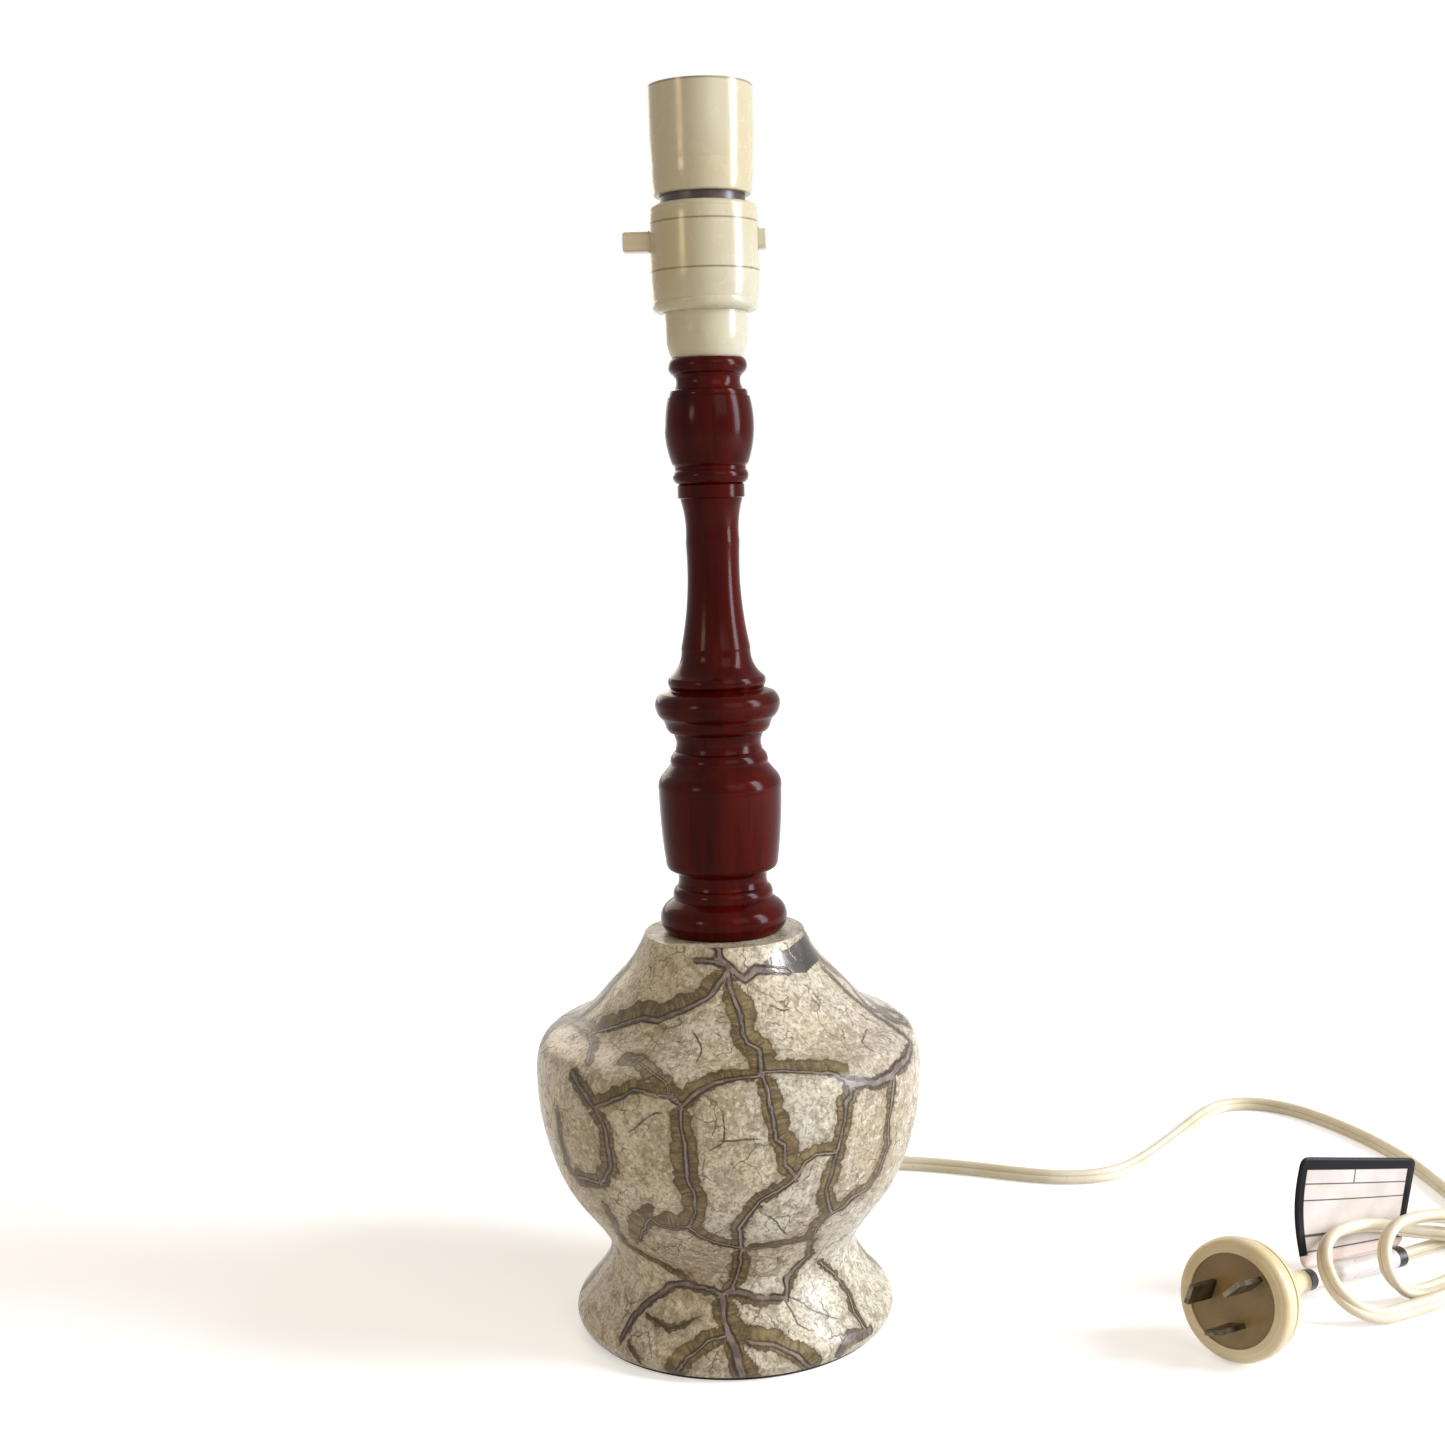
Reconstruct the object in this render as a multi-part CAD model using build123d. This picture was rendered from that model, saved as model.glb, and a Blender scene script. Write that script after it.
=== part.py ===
from build123d import *
from math import cos, hypot, radians, sin, sqrt, tan
import os

# Ceramic table lamp with a turned wooden column, a push-bar bayonet lampholder and a looped flat cord
# Millimetres and degrees; +Z up, front towards -Y, origin on the table under the middle of the foot

# Gaps between pieces, and how far a cut runs past the face that it opens
running_gap = 0.08
seat_gap = 0.1
loose_gap = 0.3
overrun = 1.0

# Ceramic body, from the base pad to the flat ledge that carries the column
pad_thickness = 1.5
pad_margin = 1.6
ceramic_radius = 66.4
ceramic_top = 138.0
ceramic_wall = 5.0
foot_wall = 4.6
floor_underside = 26.0
floor_thickness = 6.0
foot_shares = [(0.812, 0.011), (0.836, 0.036), (0.780, 0.087), (0.687, 0.145), (0.646, 0.203)]
bowl_shares = [
    (0.694, 0.261), (0.848, 0.362), (0.958, 0.493), (1.000, 0.638), (0.945, 0.747), (0.816, 0.776),
    (0.621, 0.862), (0.477, 0.941), (0.413, 1.000),
]
ceramic_shares = foot_shares + bowl_shares
waist_row = len(foot_shares) - 1

# Threaded tube that pulls the lampholder, column and ceramic together
tube_radius = 5.0
tube_bore = 3.5
tube_tail = 1.2
washer_radius = 15.0
washer_thickness = 1.6
nut_width = 14.0
nut_height = 6.0

# Turned wooden column: radius, height and bulge of each turning, as shares
column_radius = 21.8
column_height = 193.8
column_shares = [
    (0.890, 0.000, 0), (0.862, 0.054, 0.26), (0.780, 0.061, 0), (0.720, 0.083, 0.16), (0.705, 0.105, -0.08),
    (0.853, 0.115, 0), (0.885, 0.125, 0.06), (0.968, 0.254, 0.015), (0.867, 0.286, 0.13), (0.766, 0.300, 0),
    (0.690, 0.323, 0.14), (0.667, 0.341, -0.06), (0.706, 0.354, 0), (0.766, 0.357, 0), (0.830, 0.371, 0.08),
    (0.912, 0.384, -0.08), (0.977, 0.408, 0.10), (0.885, 0.426, 0.10), (0.757, 0.431, 0), (0.725, 0.434, 0),
    (0.761, 0.441, 0.10), (0.743, 0.453, 0.10), (0.539, 0.503, -0.13), (0.415, 0.687, -0.035),
    (0.480, 0.762, -0.05), (0.514, 0.764, 0), (0.514, 0.785, 0), (0.490, 0.787, 0), (0.532, 0.789, 0),
    (0.546, 0.811, 0.22), (0.546, 0.817, 0), (0.587, 0.822, 0), (0.633, 0.935, 0.075), (0.601, 0.936, 0),
    (0.587, 0.946, 0.08), (0.532, 0.948, 0), (0.500, 0.968, -0.10), (0.532, 0.973, 0), (0.560, 1.000, 0.24),
]

# Lampholder cap with its boss, lock nut and grub screw
cap_radius = 14.1
cap_height = 15.0
cap_boss = 9.0
cap_bore = 11.4
spigot_radius = 13.4
spigot_height = 4.5
lock_nut_height = 4.0
tube_lead_in = 1.0
grub_radius = 1.5
cap_shares = [(0.810, 0.0, 0), (0.910, 0.2, 0.05), (0.985, 0.65, 0.05), (0.995, 0.9, 0), (1.0, 1.0, 0)]

# Lower body, switch housing and collar of the lampholder
holder_radius = 18.2
lower_body_height = 13.0
lower_body_wall = 2.5
housing_height = 15.5
housing_bore = 14.2
flange_radius = 15.2
collar_height = 6.0
lower_body_shares = [(0.86, 0.0, 0), (0.962, 0.29, 0.22), (0.978, 0.5, 0.02), (0.995, 1.0, 0.02)]
collar_shares = [(0.995, 0.0, 0), (0.984, 0.66, 0.02), (0.915, 1.0, 0.22)]

# Terminals, contacts and conductors inside the lampholder
block_radius = 13.0
block_height = 13.5
terminal_width = 6.0
terminal_depth = 7.0
terminal_height = 9.0
terminal_spread = 6.0
screw_radius = 1.5
screw_length = 5.0
conductor_radius = 1.1
contact_thickness = 0.8
contact_width = 3.0
contact_spread = 4.0
contact_setback = 7.0

# Push-bar switch
bar_length = 47.6
bar_width = 7.0
bar_height = 6.5
bar_offset = -2.9
bar_rounding = 1.6
bar_travel = 6.0
bar_above_block = 2.0
window_gap = 0.35
bridge_length = 15.6
bridge_width = 5.0
fixed_contact_spread = 6.0
fixed_contact_length = 4.0
detent_length = 12.0
detent_height = 5.0
detent_thickness = 0.6

# Bayonet barrel and the core with the two sprung plungers
barrel_radius = 14.1
barrel_bore = 11.15
barrel_above_collar = 30.7
socket_depth = 17.0
lip_bore = 9.5
lip_height = 2.1
slot_width = 2.8
slot_depth = 9.0
slot_turn = 5.0
slot_return = 1.5
core_radius = 10.6
core_floor = 1.2
core_lid = 2.0
plunger_spread = 5.0
plunger_radius = 1.8
plunger_shoulder = 2.5
shoulder_height = 2.0
plunger_stand = 5.5
plunger_travel = 3.5
spring_packed = 3.22
spring_radius = 2.4
spring_bore = 1.7

# Shade ring that screws on the barrel
ring_radius = 17.4
ring_height = 34.6
ring_wall = 2.2
ring_thread = 7.0
ring_stand_off = 3.1
ring_shares = [(0.895, 0.0, 0), (0.931, 0.02, 0.15), (0.971, 0.29, 0.03), (0.997, 0.75, 0.01), (1.0, 1.0, 0)]

# Cord exit at the back of the foot
exit_height = 9.0
exit_stand_off = 3.82
bush_radius = 4.1
bush_flange_radius = 5.2
bush_flange = 1.5
bush_length = 14.0
bush_collar_radius = 6.0
bush_collar = 3.0
clamp_width = 13.0
clamp_height = 11.0
clamp_thickness = 5.0
lead_bend = 9.0

# The exit stands off the foot's own outline at its height
foot_rows = [(across * ceramic_radius, up * ceramic_top) for across, up in foot_shares]
exit_rows = [pair for pair in zip(foot_rows, foot_rows[1:]) if pair[0][1] <= exit_height < pair[1][1]]
exit_low, exit_high = exit_rows[0]
exit_rise = (exit_height - exit_low[1]) / (exit_high[1] - exit_low[1])
exit_reach = exit_low[0] + exit_rise * (exit_high[0] - exit_low[0]) + exit_stand_off

# Cord, and its route over the table from the foot to the hank
cord_diameter = 5.8
cord_radius = cord_diameter / 2
on_table = cord_radius
sample_step = 2.0
bend_share = 0.45
free_route = [
    (0, exit_reach, exit_height), (0, 72, exit_height), (0, 98, on_table), (20, 121.5, on_table),
    (48, 132.8, on_table), (74, 131.3, on_table), (98, 123.6, on_table), (122, 113, on_table),
    (140, 108.3, on_table), (158, 111.3, on_table), (174, 126, on_table), (198, 158.5, on_table),
    (213, 180.5, on_table), (224.5, 192, on_table), (240, 193.5, on_table), (254, 183.5, on_table),
    (264.5, 166.5, on_table), (274, 144, on_table), (281, 118, on_table), (283.8, 93, on_table),
    (285, 68, on_table),
]

# Hank: stations as (along, across, height) and heading, from its own centre and azimuth
hank_centre = (292.0, 30.0)
hank_azimuth = 30.0
turn_reach = 81.7
inner_turn = 22.0
outer_turn = 30.0
hank_stations = [
    ((-4, 15, 10.6), (-0.62, -0.74, 0.25)),
    ((-23, 3.5, 16.5), (-0.90, -0.22, 0.34)),
    ((-43, 1.4, 22.8), (-0.95, 0, 0.28)),
    ((-63.5, 1.4, 25.8), (-1, 0, 0)),
    ((-77, -2.4, 14.5), (0, -0.33, -0.94)),
    ((-64.5, -7.5, on_table), (1, 0, 0)),
    ((0, -3.3, on_table), (1, 0, 0)),
    ((turn_reach, -inner_turn, on_table), (1, 0, 0)),
    ((turn_reach + inner_turn, 0, on_table), (0, 1, 0)),
    ((turn_reach, inner_turn, on_table), (-1, 0, 0)),
    ((0, 8, on_table), (-1, 0, 0)),
    ((-28, 8.6, 9.5), (-0.93, 0.02, 0.36)),
    ((-56, 10.6, 18.2), (-0.93, 0, 0.36)),
    ((-88, 8.2, 25.6), (-1, 0, 0)),
    ((-103, -1.2, 14.5), (0, -0.64, -0.77)),
    ((-87, -13.2, on_table), (1, -0.10, 0)),
    ((-62, -14.5, on_table), (1, 0.03, 0)),
    ((-8, -11.2, on_table), (1, 0.02, 0)),
    ((turn_reach, -outer_turn, on_table), (1, 0, 0)),
    ((turn_reach + outer_turn, 0, on_table), (0, 1, 0)),
    ((turn_reach, outer_turn, on_table), (-1, 0, 0)),
    ((-8, 15, on_table), (-1, 0, 0)),
]

# Plug, resting on its rim, with its axis set by the way that the pins point
plug_centre = (163.3, -48.4)
plug_azimuth = 225.0
plug_tilt = 11.0
plug_lift = 0.93
plug_roll = 136.5
plug_radius = 19.95
plug_rim_height = 2.0
plug_edge_share = 0.98
plug_ring_height = 5.0
plug_face_radius = 15.2
plug_face_height = 1.3
plug_body_depth = 24.0
plug_neck_end = 45.5
neck_radius = 5.6
neck_tip_radius = 4.2
groove_depth = 0.5
groove_height = 0.9
pin_width = 6.35
pin_thickness = 1.6
pin_length = 16.2
earth_pin_length = 17.0
pin_root = 3.0
pin_circle = 7.92
earth_circle = 10.31
pin_slant = 30.0
pin_azimuth = 30.0
plug_neck_share = neck_radius / plug_radius
plug_ring_shares = [(plug_edge_share, 0.0, 0), (1.0, 0.55, 0.1), (0.90, 0.95, 0.2), (0.84, 1.0, 0.1)]
plug_body_shares = [
    (plug_neck_share, 0.0, 0), (0.55, 0.30, -0.06), (0.93, 0.78, 0.10), (0.975, 0.88, 0.03),
    (plug_edge_share, 1.0, 0),
]

# Tag that stands on the cord beside the plug
tag_start = 1.5
tag_length = 57.0
tail_lead = 11.5
tag_height = 38.5
tag_thickness = 0.5
tag_rounding = 3.0
tag_lean = 6.0
band_length = 4.5
band_thickness = 0.7

# Heights and places that follow from the sizes above
floor_top = floor_underside + floor_thickness
column_top = ceramic_top + column_height
cap_top = column_top + cap_height
spigot_top = cap_top + spigot_height
housing_base = cap_top + lower_body_height
collar_base = housing_base + housing_height
collar_top = collar_base + collar_height
block_top = spigot_top + block_height
bar_bottom = block_top + bar_above_block
flange_base = bar_bottom + bar_height + window_gap
core_base = flange_base + lip_height
core_height = core_floor + spring_packed + plunger_travel + shoulder_height + running_gap + core_lid
core_top = core_base + core_height
barrel_top = collar_top + barrel_above_collar
ring_base = collar_top + ring_stand_off
tube_bottom = floor_underside - washer_thickness - nut_height - tube_tail
tube_top = column_top + cap_boss + lock_nut_height + tube_lead_in
nut_base = floor_underside - washer_thickness - nut_height


def save(shape, node):
    export_step(shape, "parts/" + node + ".step")


def rod(radius, low, high, x=0, y=0):
    return Pos(x, y, low) * Cylinder(radius, high - low, align=(Align.CENTER, Align.CENTER, Align.MIN))


def pipe(radius, bore, low, high):
    return rod(radius, low, high) - rod(bore, low - overrun, high + overrun)


def block(width, depth, low, high, x=0, y=0):
    return Pos(x, y, low) * Box(width, depth, high - low, align=(Align.CENTER, Align.CENTER, Align.MIN))


def hexagon(width, low, high):
    return Pos(0, 0, low) * extrude(RegularPolygon(width / 2, 6, major_radius=False), high - low)


def spin(edges):
    return revolve(Plane.XZ * make_face(edges), Axis.Z)


def turning(rows, radius, height, base=0):
    # Each row gives the radius and height as shares and how far its line or arc bulges out
    points = [(across * radius, base + up * height) for across, up, bulge in rows]
    edges = [Line((0, points[0][1]), points[0])]
    for (x0, y0), (x1, y1), row in zip(points, points[1:], rows[1:]):
        bulge = row[2]
        middle = ((x0 + x1) / 2 + bulge * (y1 - y0), (y0 + y1) / 2 - bulge * (x1 - x0))
        edges.append(ThreePointArc((x0, y0), middle, (x1, y1)) if bulge else Line((x0, y0), (x1, y1)))
    edges.append(Line(points[-1], (0, points[-1][1])))
    edges.append(Line((0, points[-1][1]), (0, points[0][1])))
    return spin(edges)


def inset(points, depth):
    # Points moved square to the outline, towards the axis
    moved = []
    for before, here, after in zip(points, points[1:], points[2:]):
        across = after[0] - before[0]
        up = after[1] - before[1]
        span = hypot(across, up)
        moved.append((here[0] - depth * up / span, here[1] + depth * across / span))
    return moved


os.makedirs("parts", exist_ok=True)

# Ceramic body: one smooth outline, a cavity that follows it, and an open foot under the floor
outline_points = [(across * ceramic_radius, up * ceramic_top) for across, up in ceramic_shares]
foot_start = outline_points[0]
ledge_end = outline_points[-1]
outside = spin([
    Line((0, foot_start[1]), foot_start),
    Spline(outline_points),
    Line(ledge_end, (0, ledge_end[1])),
    Line((0, ledge_end[1]), (0, foot_start[1])),
])
cavity_points = inset(outline_points[waist_row:], ceramic_wall)
waist_inner = outline_points[waist_row][0] - ceramic_wall
floor_edge = (waist_inner, floor_top)
cavity_roof = ceramic_top - ceramic_wall
cavity_end = cavity_points[-1]
cavity = spin([
    Line((0, floor_top), floor_edge),
    Spline([floor_edge] + cavity_points),
    Line(cavity_end, (0, cavity_roof)),
    Line((0, cavity_roof), (0, floor_top)),
])
foot_inner = foot_start[0] - foot_wall
recess = spin([
    Line((0, 0), (foot_inner, 0)),
    Line((foot_inner, 0), (foot_inner, outline_points[1][1])),
    Line((foot_inner, outline_points[1][1]), (waist_inner, floor_underside)),
    Line((waist_inner, floor_underside), (0, floor_underside)),
    Line((0, floor_underside), (0, 0)),
])
tube_hole = rod(tube_radius + loose_gap, floor_underside - overrun, ceramic_top + overrun)
bush_place = Pos(0, exit_reach, exit_height) * Rot(X=90)
bush_hole = bush_place * rod(bush_radius + seat_gap, 0, bush_length + overrun)
save(outside - cavity - recess - tube_hole - bush_hole, "ceramic_body")

save(rod(foot_start[0] - pad_margin, 0, pad_thickness), "base_pad")

# Wooden column, bored for the threaded tube
column = turning(column_shares, column_radius, column_height, ceramic_top)
column_bore = rod(tube_radius + loose_gap, ceramic_top - overrun, column_top + overrun)
save(column - column_bore, "wood_column")

# Threaded tube with its washer and nut under the ceramic floor
save(pipe(tube_radius, tube_bore, tube_bottom, tube_top), "lamp_tube")
save(pipe(washer_radius, tube_radius + seat_gap, floor_underside - washer_thickness, floor_underside), "tube_washer")
nut_bore = rod(tube_radius + running_gap, nut_base - overrun, tube_top)
save(hexagon(nut_width, nut_base, nut_base + nut_height) - nut_bore, "tube_nut")

# Cord bush in the back of the foot, with the clamp that stops a pull on the cord
bush = bush_place * rod(bush_radius, 0, bush_length)
bush += bush_place * rod(bush_flange_radius, 0, bush_flange)
bush += bush_place * rod(bush_collar_radius, bush_length, bush_length + bush_collar)
cord_way = bush_place * rod(cord_radius + seat_gap, -overrun, exit_reach)
save(bush - cord_way, "cord_bush")
clamp_back = exit_reach - bush_length - bush_collar
clamp_middle = clamp_back - clamp_thickness / 2
clamp_low = exit_height - clamp_height / 2
clamp = block(clamp_width, clamp_thickness, clamp_low, clamp_low + clamp_height, y=clamp_middle)
save(clamp - cord_way, "cord_clamp")

# Lead from the bush through the clamp and up the tube to the lampholder
lead_top = tube_top
lead_corner = Vector(0, lead_bend, exit_height)
lead_rise = Vector(0, 0, exit_height + lead_bend)
lead_path = Wire([
    Line((0, exit_reach, exit_height), lead_corner),
    TangentArc(lead_corner, lead_rise, tangent=(0, -1, 0)),
    Line(lead_rise, (0, 0, lead_top)),
])
save(sweep(bush_place * Circle(cord_radius), path=lead_path), "inner_lead")

# Lampholder cap with a solid boss, fixed by the lock nut and the grub screw
cap = turning(cap_shares, cap_radius, cap_height, column_top)
cap += rod(spigot_radius, cap_top, spigot_top)
cap -= rod(cap_bore, column_top + cap_boss, spigot_top + overrun)
cap -= rod(tube_radius + seat_gap, column_top - overrun, spigot_top)
grub_height = column_top + cap_boss / 2
grub_place = Pos(0, tube_radius + seat_gap, grub_height) * Rot(X=-90)
cap -= grub_place * rod(grub_radius + running_gap, 0, cap_radius)
save(cap, "holder_cap")
nut_seat = column_top + cap_boss
lock_nut = hexagon(nut_width, nut_seat, nut_seat + lock_nut_height) - nut_bore
save(lock_nut, "cap_lock_nut")
grub_length = cap_radius * cap_shares[1][0] - tube_radius - seat_gap
save(grub_place * rod(grub_radius, 0, grub_length), "grub_screw")

# Lower body, which the terminal block fills
body_bore = holder_radius - lower_body_wall
lower_body = turning(lower_body_shares, holder_radius, lower_body_height, cap_top)
lower_body -= rod(spigot_radius + running_gap, cap_top - overrun, spigot_top + overrun)
lower_body -= rod(body_bore, spigot_top, housing_base + overrun)
save(lower_body, "holder_lower_body")

terminal_low = block_top - terminal_height
terminal_block = rod(block_radius, spigot_top, block_top)
terminal_block -= rod(conductor_radius * 2, spigot_top - overrun, terminal_low)
for side in (-1, 1):
    pocket_x = side * terminal_spread
    terminal_block -= block(terminal_width + seat_gap, terminal_depth + seat_gap, terminal_low,
                            block_top + overrun, x=pocket_x)
    screw_way = Pos(pocket_x, 0, terminal_low + terminal_height / 2) * Rot(X=-90)
    terminal_block -= screw_way * rod(screw_radius * 2, 0, block_radius)
    terminal_block -= rod(conductor_radius + seat_gap, spigot_top - overrun, terminal_low + overrun, x=pocket_x)
save(terminal_block, "terminal_block")

for side, name in ((-1, "left"), (1, "right")):
    pocket_x = side * terminal_spread
    screw_way = Pos(pocket_x, terminal_depth / 2, terminal_low + terminal_height / 2) * Rot(X=-90)
    terminal = block(terminal_width, terminal_depth, terminal_low, block_top - seat_gap, x=pocket_x)
    terminal -= rod(conductor_radius + seat_gap, terminal_low - overrun, terminal_low + terminal_height / 2,
                    x=pocket_x)
    save(terminal, "terminal_" + name)
    screw = screw_way * rod(screw_radius, 0, screw_length)
    save(screw, "terminal_screw_" + name)
    conductor = rod(conductor_radius, tube_top, terminal_low + terminal_height / 2, x=pocket_x)
    save(conductor, "conductor_" + name)

# Contact strips beside the bar, and the fixed contacts that the bridge closes
for side, name in ((-1, "left"), (1, "right")):
    strip = block(contact_width, contact_thickness, block_top, core_base, x=side * contact_spread,
                  y=-contact_setback)
    save(strip, "contact_strip_" + name)
    contact = block(fixed_contact_length, bridge_width, block_top, block_top + contact_thickness,
                    x=side * fixed_contact_spread)
    save(contact, "fixed_contact_" + name)

# Switch housing with a window each side for the bar and a step for the barrel's flange
bar_middle = bar_bottom + bar_height / 2
housing = rod(holder_radius, housing_base, collar_base)
housing -= rod(housing_bore, housing_base - overrun, collar_base + overrun)
housing -= rod(flange_radius + running_gap, flange_base, collar_base + overrun)
window = Box(holder_radius * 3, bar_width + 2 * window_gap, bar_height + 2 * window_gap)
housing -= Pos(0, 0, bar_middle) * window
save(housing, "switch_housing")

# Push-bar with its bridge, and the leaf that holds it where it is put
bar = Pos(bar_offset, 0, bar_middle) * Box(bar_length, bar_width, bar_height)
bar = fillet(bar.edges().filter_by(Axis.X), bar_rounding)
bar = fillet(bar.faces().filter_by(Axis.X).edges(), bar_rounding / 2)
save(bar, "switch_bar")
bridge_low = block_top + contact_thickness + loose_gap
save(block(bridge_length, bridge_width, bridge_low, bar_bottom, x=-bar_travel), "switch_bridge")
detent_y = bar_width / 2 + loose_gap + detent_thickness / 2
save(block(detent_length, detent_thickness, block_top, block_top + detent_height, y=detent_y), "detent_leaf")

# Collar that clamps the barrel's flange down
collar = turning(collar_shares, holder_radius, collar_height, collar_base)
collar -= rod(barrel_radius + seat_gap, collar_base - overrun, collar_top + overrun)
save(collar, "holder_collar")

# Bayonet barrel with two J slots, front and back
barrel = rod(barrel_radius, flange_base, barrel_top) + rod(flange_radius, flange_base, collar_base)
barrel -= rod(barrel_bore, barrel_top - socket_depth, barrel_top + overrun)
barrel -= rod(core_radius + seat_gap, core_base, barrel_top)
barrel -= rod(lip_bore, flange_base - overrun, barrel_top)
slot_low = barrel_top - slot_depth
slot_y = (barrel_radius + barrel_bore) / 2
slot_cut = barrel_radius - barrel_bore + 2 * overrun
slot = block(slot_width, slot_cut, slot_low, barrel_top + overrun, y=slot_y)
slot += block(slot_turn + slot_width, slot_cut, slot_low, slot_low + slot_width, x=slot_turn / 2, y=slot_y)
slot += block(slot_width, slot_cut, slot_low, slot_low + slot_width + slot_return, x=slot_turn, y=slot_y)
for angle in (0, 180):
    barrel -= Rot(Z=angle) * slot
save(barrel, "bayonet_barrel")

# Contact core, plungers and springs
bore_bottom = core_base + core_floor
bore_top = core_top - core_lid
core = rod(core_radius, core_base, core_top)
for side in (-1, 1):
    core -= rod(plunger_shoulder + running_gap, bore_bottom, bore_top, x=side * plunger_spread)
    core -= rod(plunger_radius + running_gap, bore_top - overrun, core_top + overrun, x=side * plunger_spread)
save(core, "contact_core")
shoulder_top = bore_top - running_gap
shoulder_base = shoulder_top - shoulder_height
for side, name in ((-1, "left"), (1, "right")):
    plunger_x = side * plunger_spread
    plunger = rod(plunger_shoulder, shoulder_base, shoulder_top, x=plunger_x)
    plunger += rod(plunger_radius, shoulder_top, core_top + plunger_stand, x=plunger_x)
    tip_edge = plunger.edges().group_by(Axis.Z)[-1]
    save(fillet(tip_edge, plunger_radius / 2), "plunger_" + name)
    spring = rod(spring_radius, bore_bottom, shoulder_base, x=plunger_x)
    spring -= rod(spring_bore, bore_bottom - overrun, shoulder_base + overrun, x=plunger_x)
    save(spring, "spring_" + name)

# Shade ring: a long skirt with its thread at the bottom
ring = turning(ring_shares, ring_radius, ring_height, ring_base)
ring -= rod(ring_radius - ring_wall, ring_base + ring_thread, ring_base + ring_height + overrun)
ring -= rod(barrel_radius + running_gap, ring_base - overrun, ring_base + ring_height)
save(ring, "shade_ring")


def corner_radii(points):
    # The largest arc that the shorter run at each corner allows, with some of the run left straight
    radii = []
    for before, here, after in zip(points, points[1:], points[2:]):
        arriving = Vector(here) - Vector(before)
        leaving = Vector(after) - Vector(here)
        half_turn = radians(arriving.get_angle(leaving)) / 2
        radii.append(bend_share * min(arriving.length, leaving.length) / tan(half_turn))
    return radii


def laid_cord(points):
    path = FilletPolyline(*points, radius=corner_radii(points))
    start = Plane(origin=points[0], z_dir=Vector(points[1]) - Vector(points[0]))
    return sweep(start * Circle(cord_radius), path=path.wire()), path


# Free stretch of the cord from the bush to the hank
free_cord, free_path = laid_cord(free_route)
save(free_cord, "cord_free")
print("free cord corner radii", [round(radius, 1) for radius in corner_radii(free_route)])

# The hank's own directions on the table
along = Vector(cos(radians(hank_azimuth)), sin(radians(hank_azimuth)), 0)
across = Vector(-along.Y, along.X, 0)


def in_hank(place):
    return Vector(*hank_centre, 0) + along * place[0] + across * place[1] + Vector(0, 0, place[2])


def heading(direction):
    return (along * direction[0] + across * direction[1] + Vector(0, 0, direction[2])).normalized()


# Headings closer than this are the same
parallel = 1e-9


def biarc(start, start_heading, end, end_heading):
    # Two tangent arcs between two stations, with equal legs
    span = end - start
    square = 2 * (start_heading.dot(end_heading) - 1)
    linear = -2 * span.dot(start_heading + end_heading)
    constant = span.dot(span)
    if abs(square) < parallel:
        leg = -constant / linear
    else:
        leg = (-linear - sqrt(linear * linear - 4 * square * constant)) / (2 * square)
        other = (-linear + sqrt(linear * linear - 4 * square * constant)) / (2 * square)
        leg = min(value for value in (leg, other) if value > 0)
    first_leg = start + start_heading * leg
    second_leg = end - end_heading * leg
    joint = (first_leg + second_leg) / 2
    joint_heading = (second_leg - first_leg).normalized()
    return [TangentArc(start, joint, tangent=start_heading), TangentArc(joint, end, tangent=joint_heading)]


# Tail: its places near the hank, then the straight end in the plug's neck
tail_places = [(-26, 14.9, 4.2), (-44, 14.2, 4.8), (-62, 13.4, 5.6), (-80, 13.6, 7)]

# Plug axes: the pins point along z, and y is as near to upright as the tilt allows
pins_way = Vector(
    cos(radians(plug_tilt)) * cos(radians(plug_azimuth)),
    cos(radians(plug_tilt)) * sin(radians(plug_azimuth)),
    sin(radians(plug_tilt)),
)
plug_side = Vector(0, 0, 1).cross(pins_way).normalized()
plug_origin = Vector(*plug_centre, plug_radius * cos(radians(plug_tilt)) + plug_lift)
plug_plane = Plane(origin=plug_origin, x_dir=plug_side, z_dir=pins_way)
neck_end = plug_origin - pins_way * plug_neck_end

# Tail of the cord from the hank to the plug's neck
tail_route = [in_hank(place) for place in tail_places]
tail_route += [neck_end - pins_way * tail_lead, neck_end]
tail_route = [tuple(point) for point in tail_route]
tail_cord, tail_path = laid_cord(tail_route)
save(tail_cord, "cord_tail")
print("tail corner radii", [round(radius, 1) for radius in corner_radii(tail_route)])

# Hank: one unbroken tube from the free stretch to the tail through all its stations
free_end = [Vector(point) for point in free_route[-2:]]
tail_start = [Vector(point) for point in tail_route[:2]]
places = [free_end[1]] + [in_hank(place) for place, direction in hank_stations] + [tail_start[0]]
headings = [(free_end[1] - free_end[0]).normalized()]
headings += [heading(direction) for place, direction in hank_stations]
headings += [(tail_start[1] - tail_start[0]).normalized()]
hank_edges = []
for index in range(len(places) - 1):
    hank_edges += biarc(places[index], headings[index], places[index + 1], headings[index + 1])
hank_path = Wire(hank_edges)
hank_start = Plane(origin=places[0], z_dir=headings[0])
save(sweep(hank_start * Circle(cord_radius), path=hank_path), "cord_hank")
hank_radii = [edge.radius for edge in hank_edges if edge.geom_type == GeomType.CIRCLE]
print("hank least radius", round(min(hank_radii), 1))

# Least gap between any two stretches of the cord that aren't next to each other
lengths = [free_path.length, hank_path.length, tail_path.length]
print("cord lengths", [round(length, 1) for length in lengths], "total", round(sum(lengths), 1))
samples = []
neighbours = int(4 * cord_diameter / sample_step)
for wire in (free_path.wire(), hank_path, tail_path.wire()):
    count = int(wire.length / sample_step)
    samples += [wire.position_at(step / count) for step in range(count)]
least = min(
    (samples[i] - samples[j]).length
    for i in range(len(samples)) for j in range(i + neighbours, len(samples))
)
print("least gap between coils", round(least - cord_diameter, 2))

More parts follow.
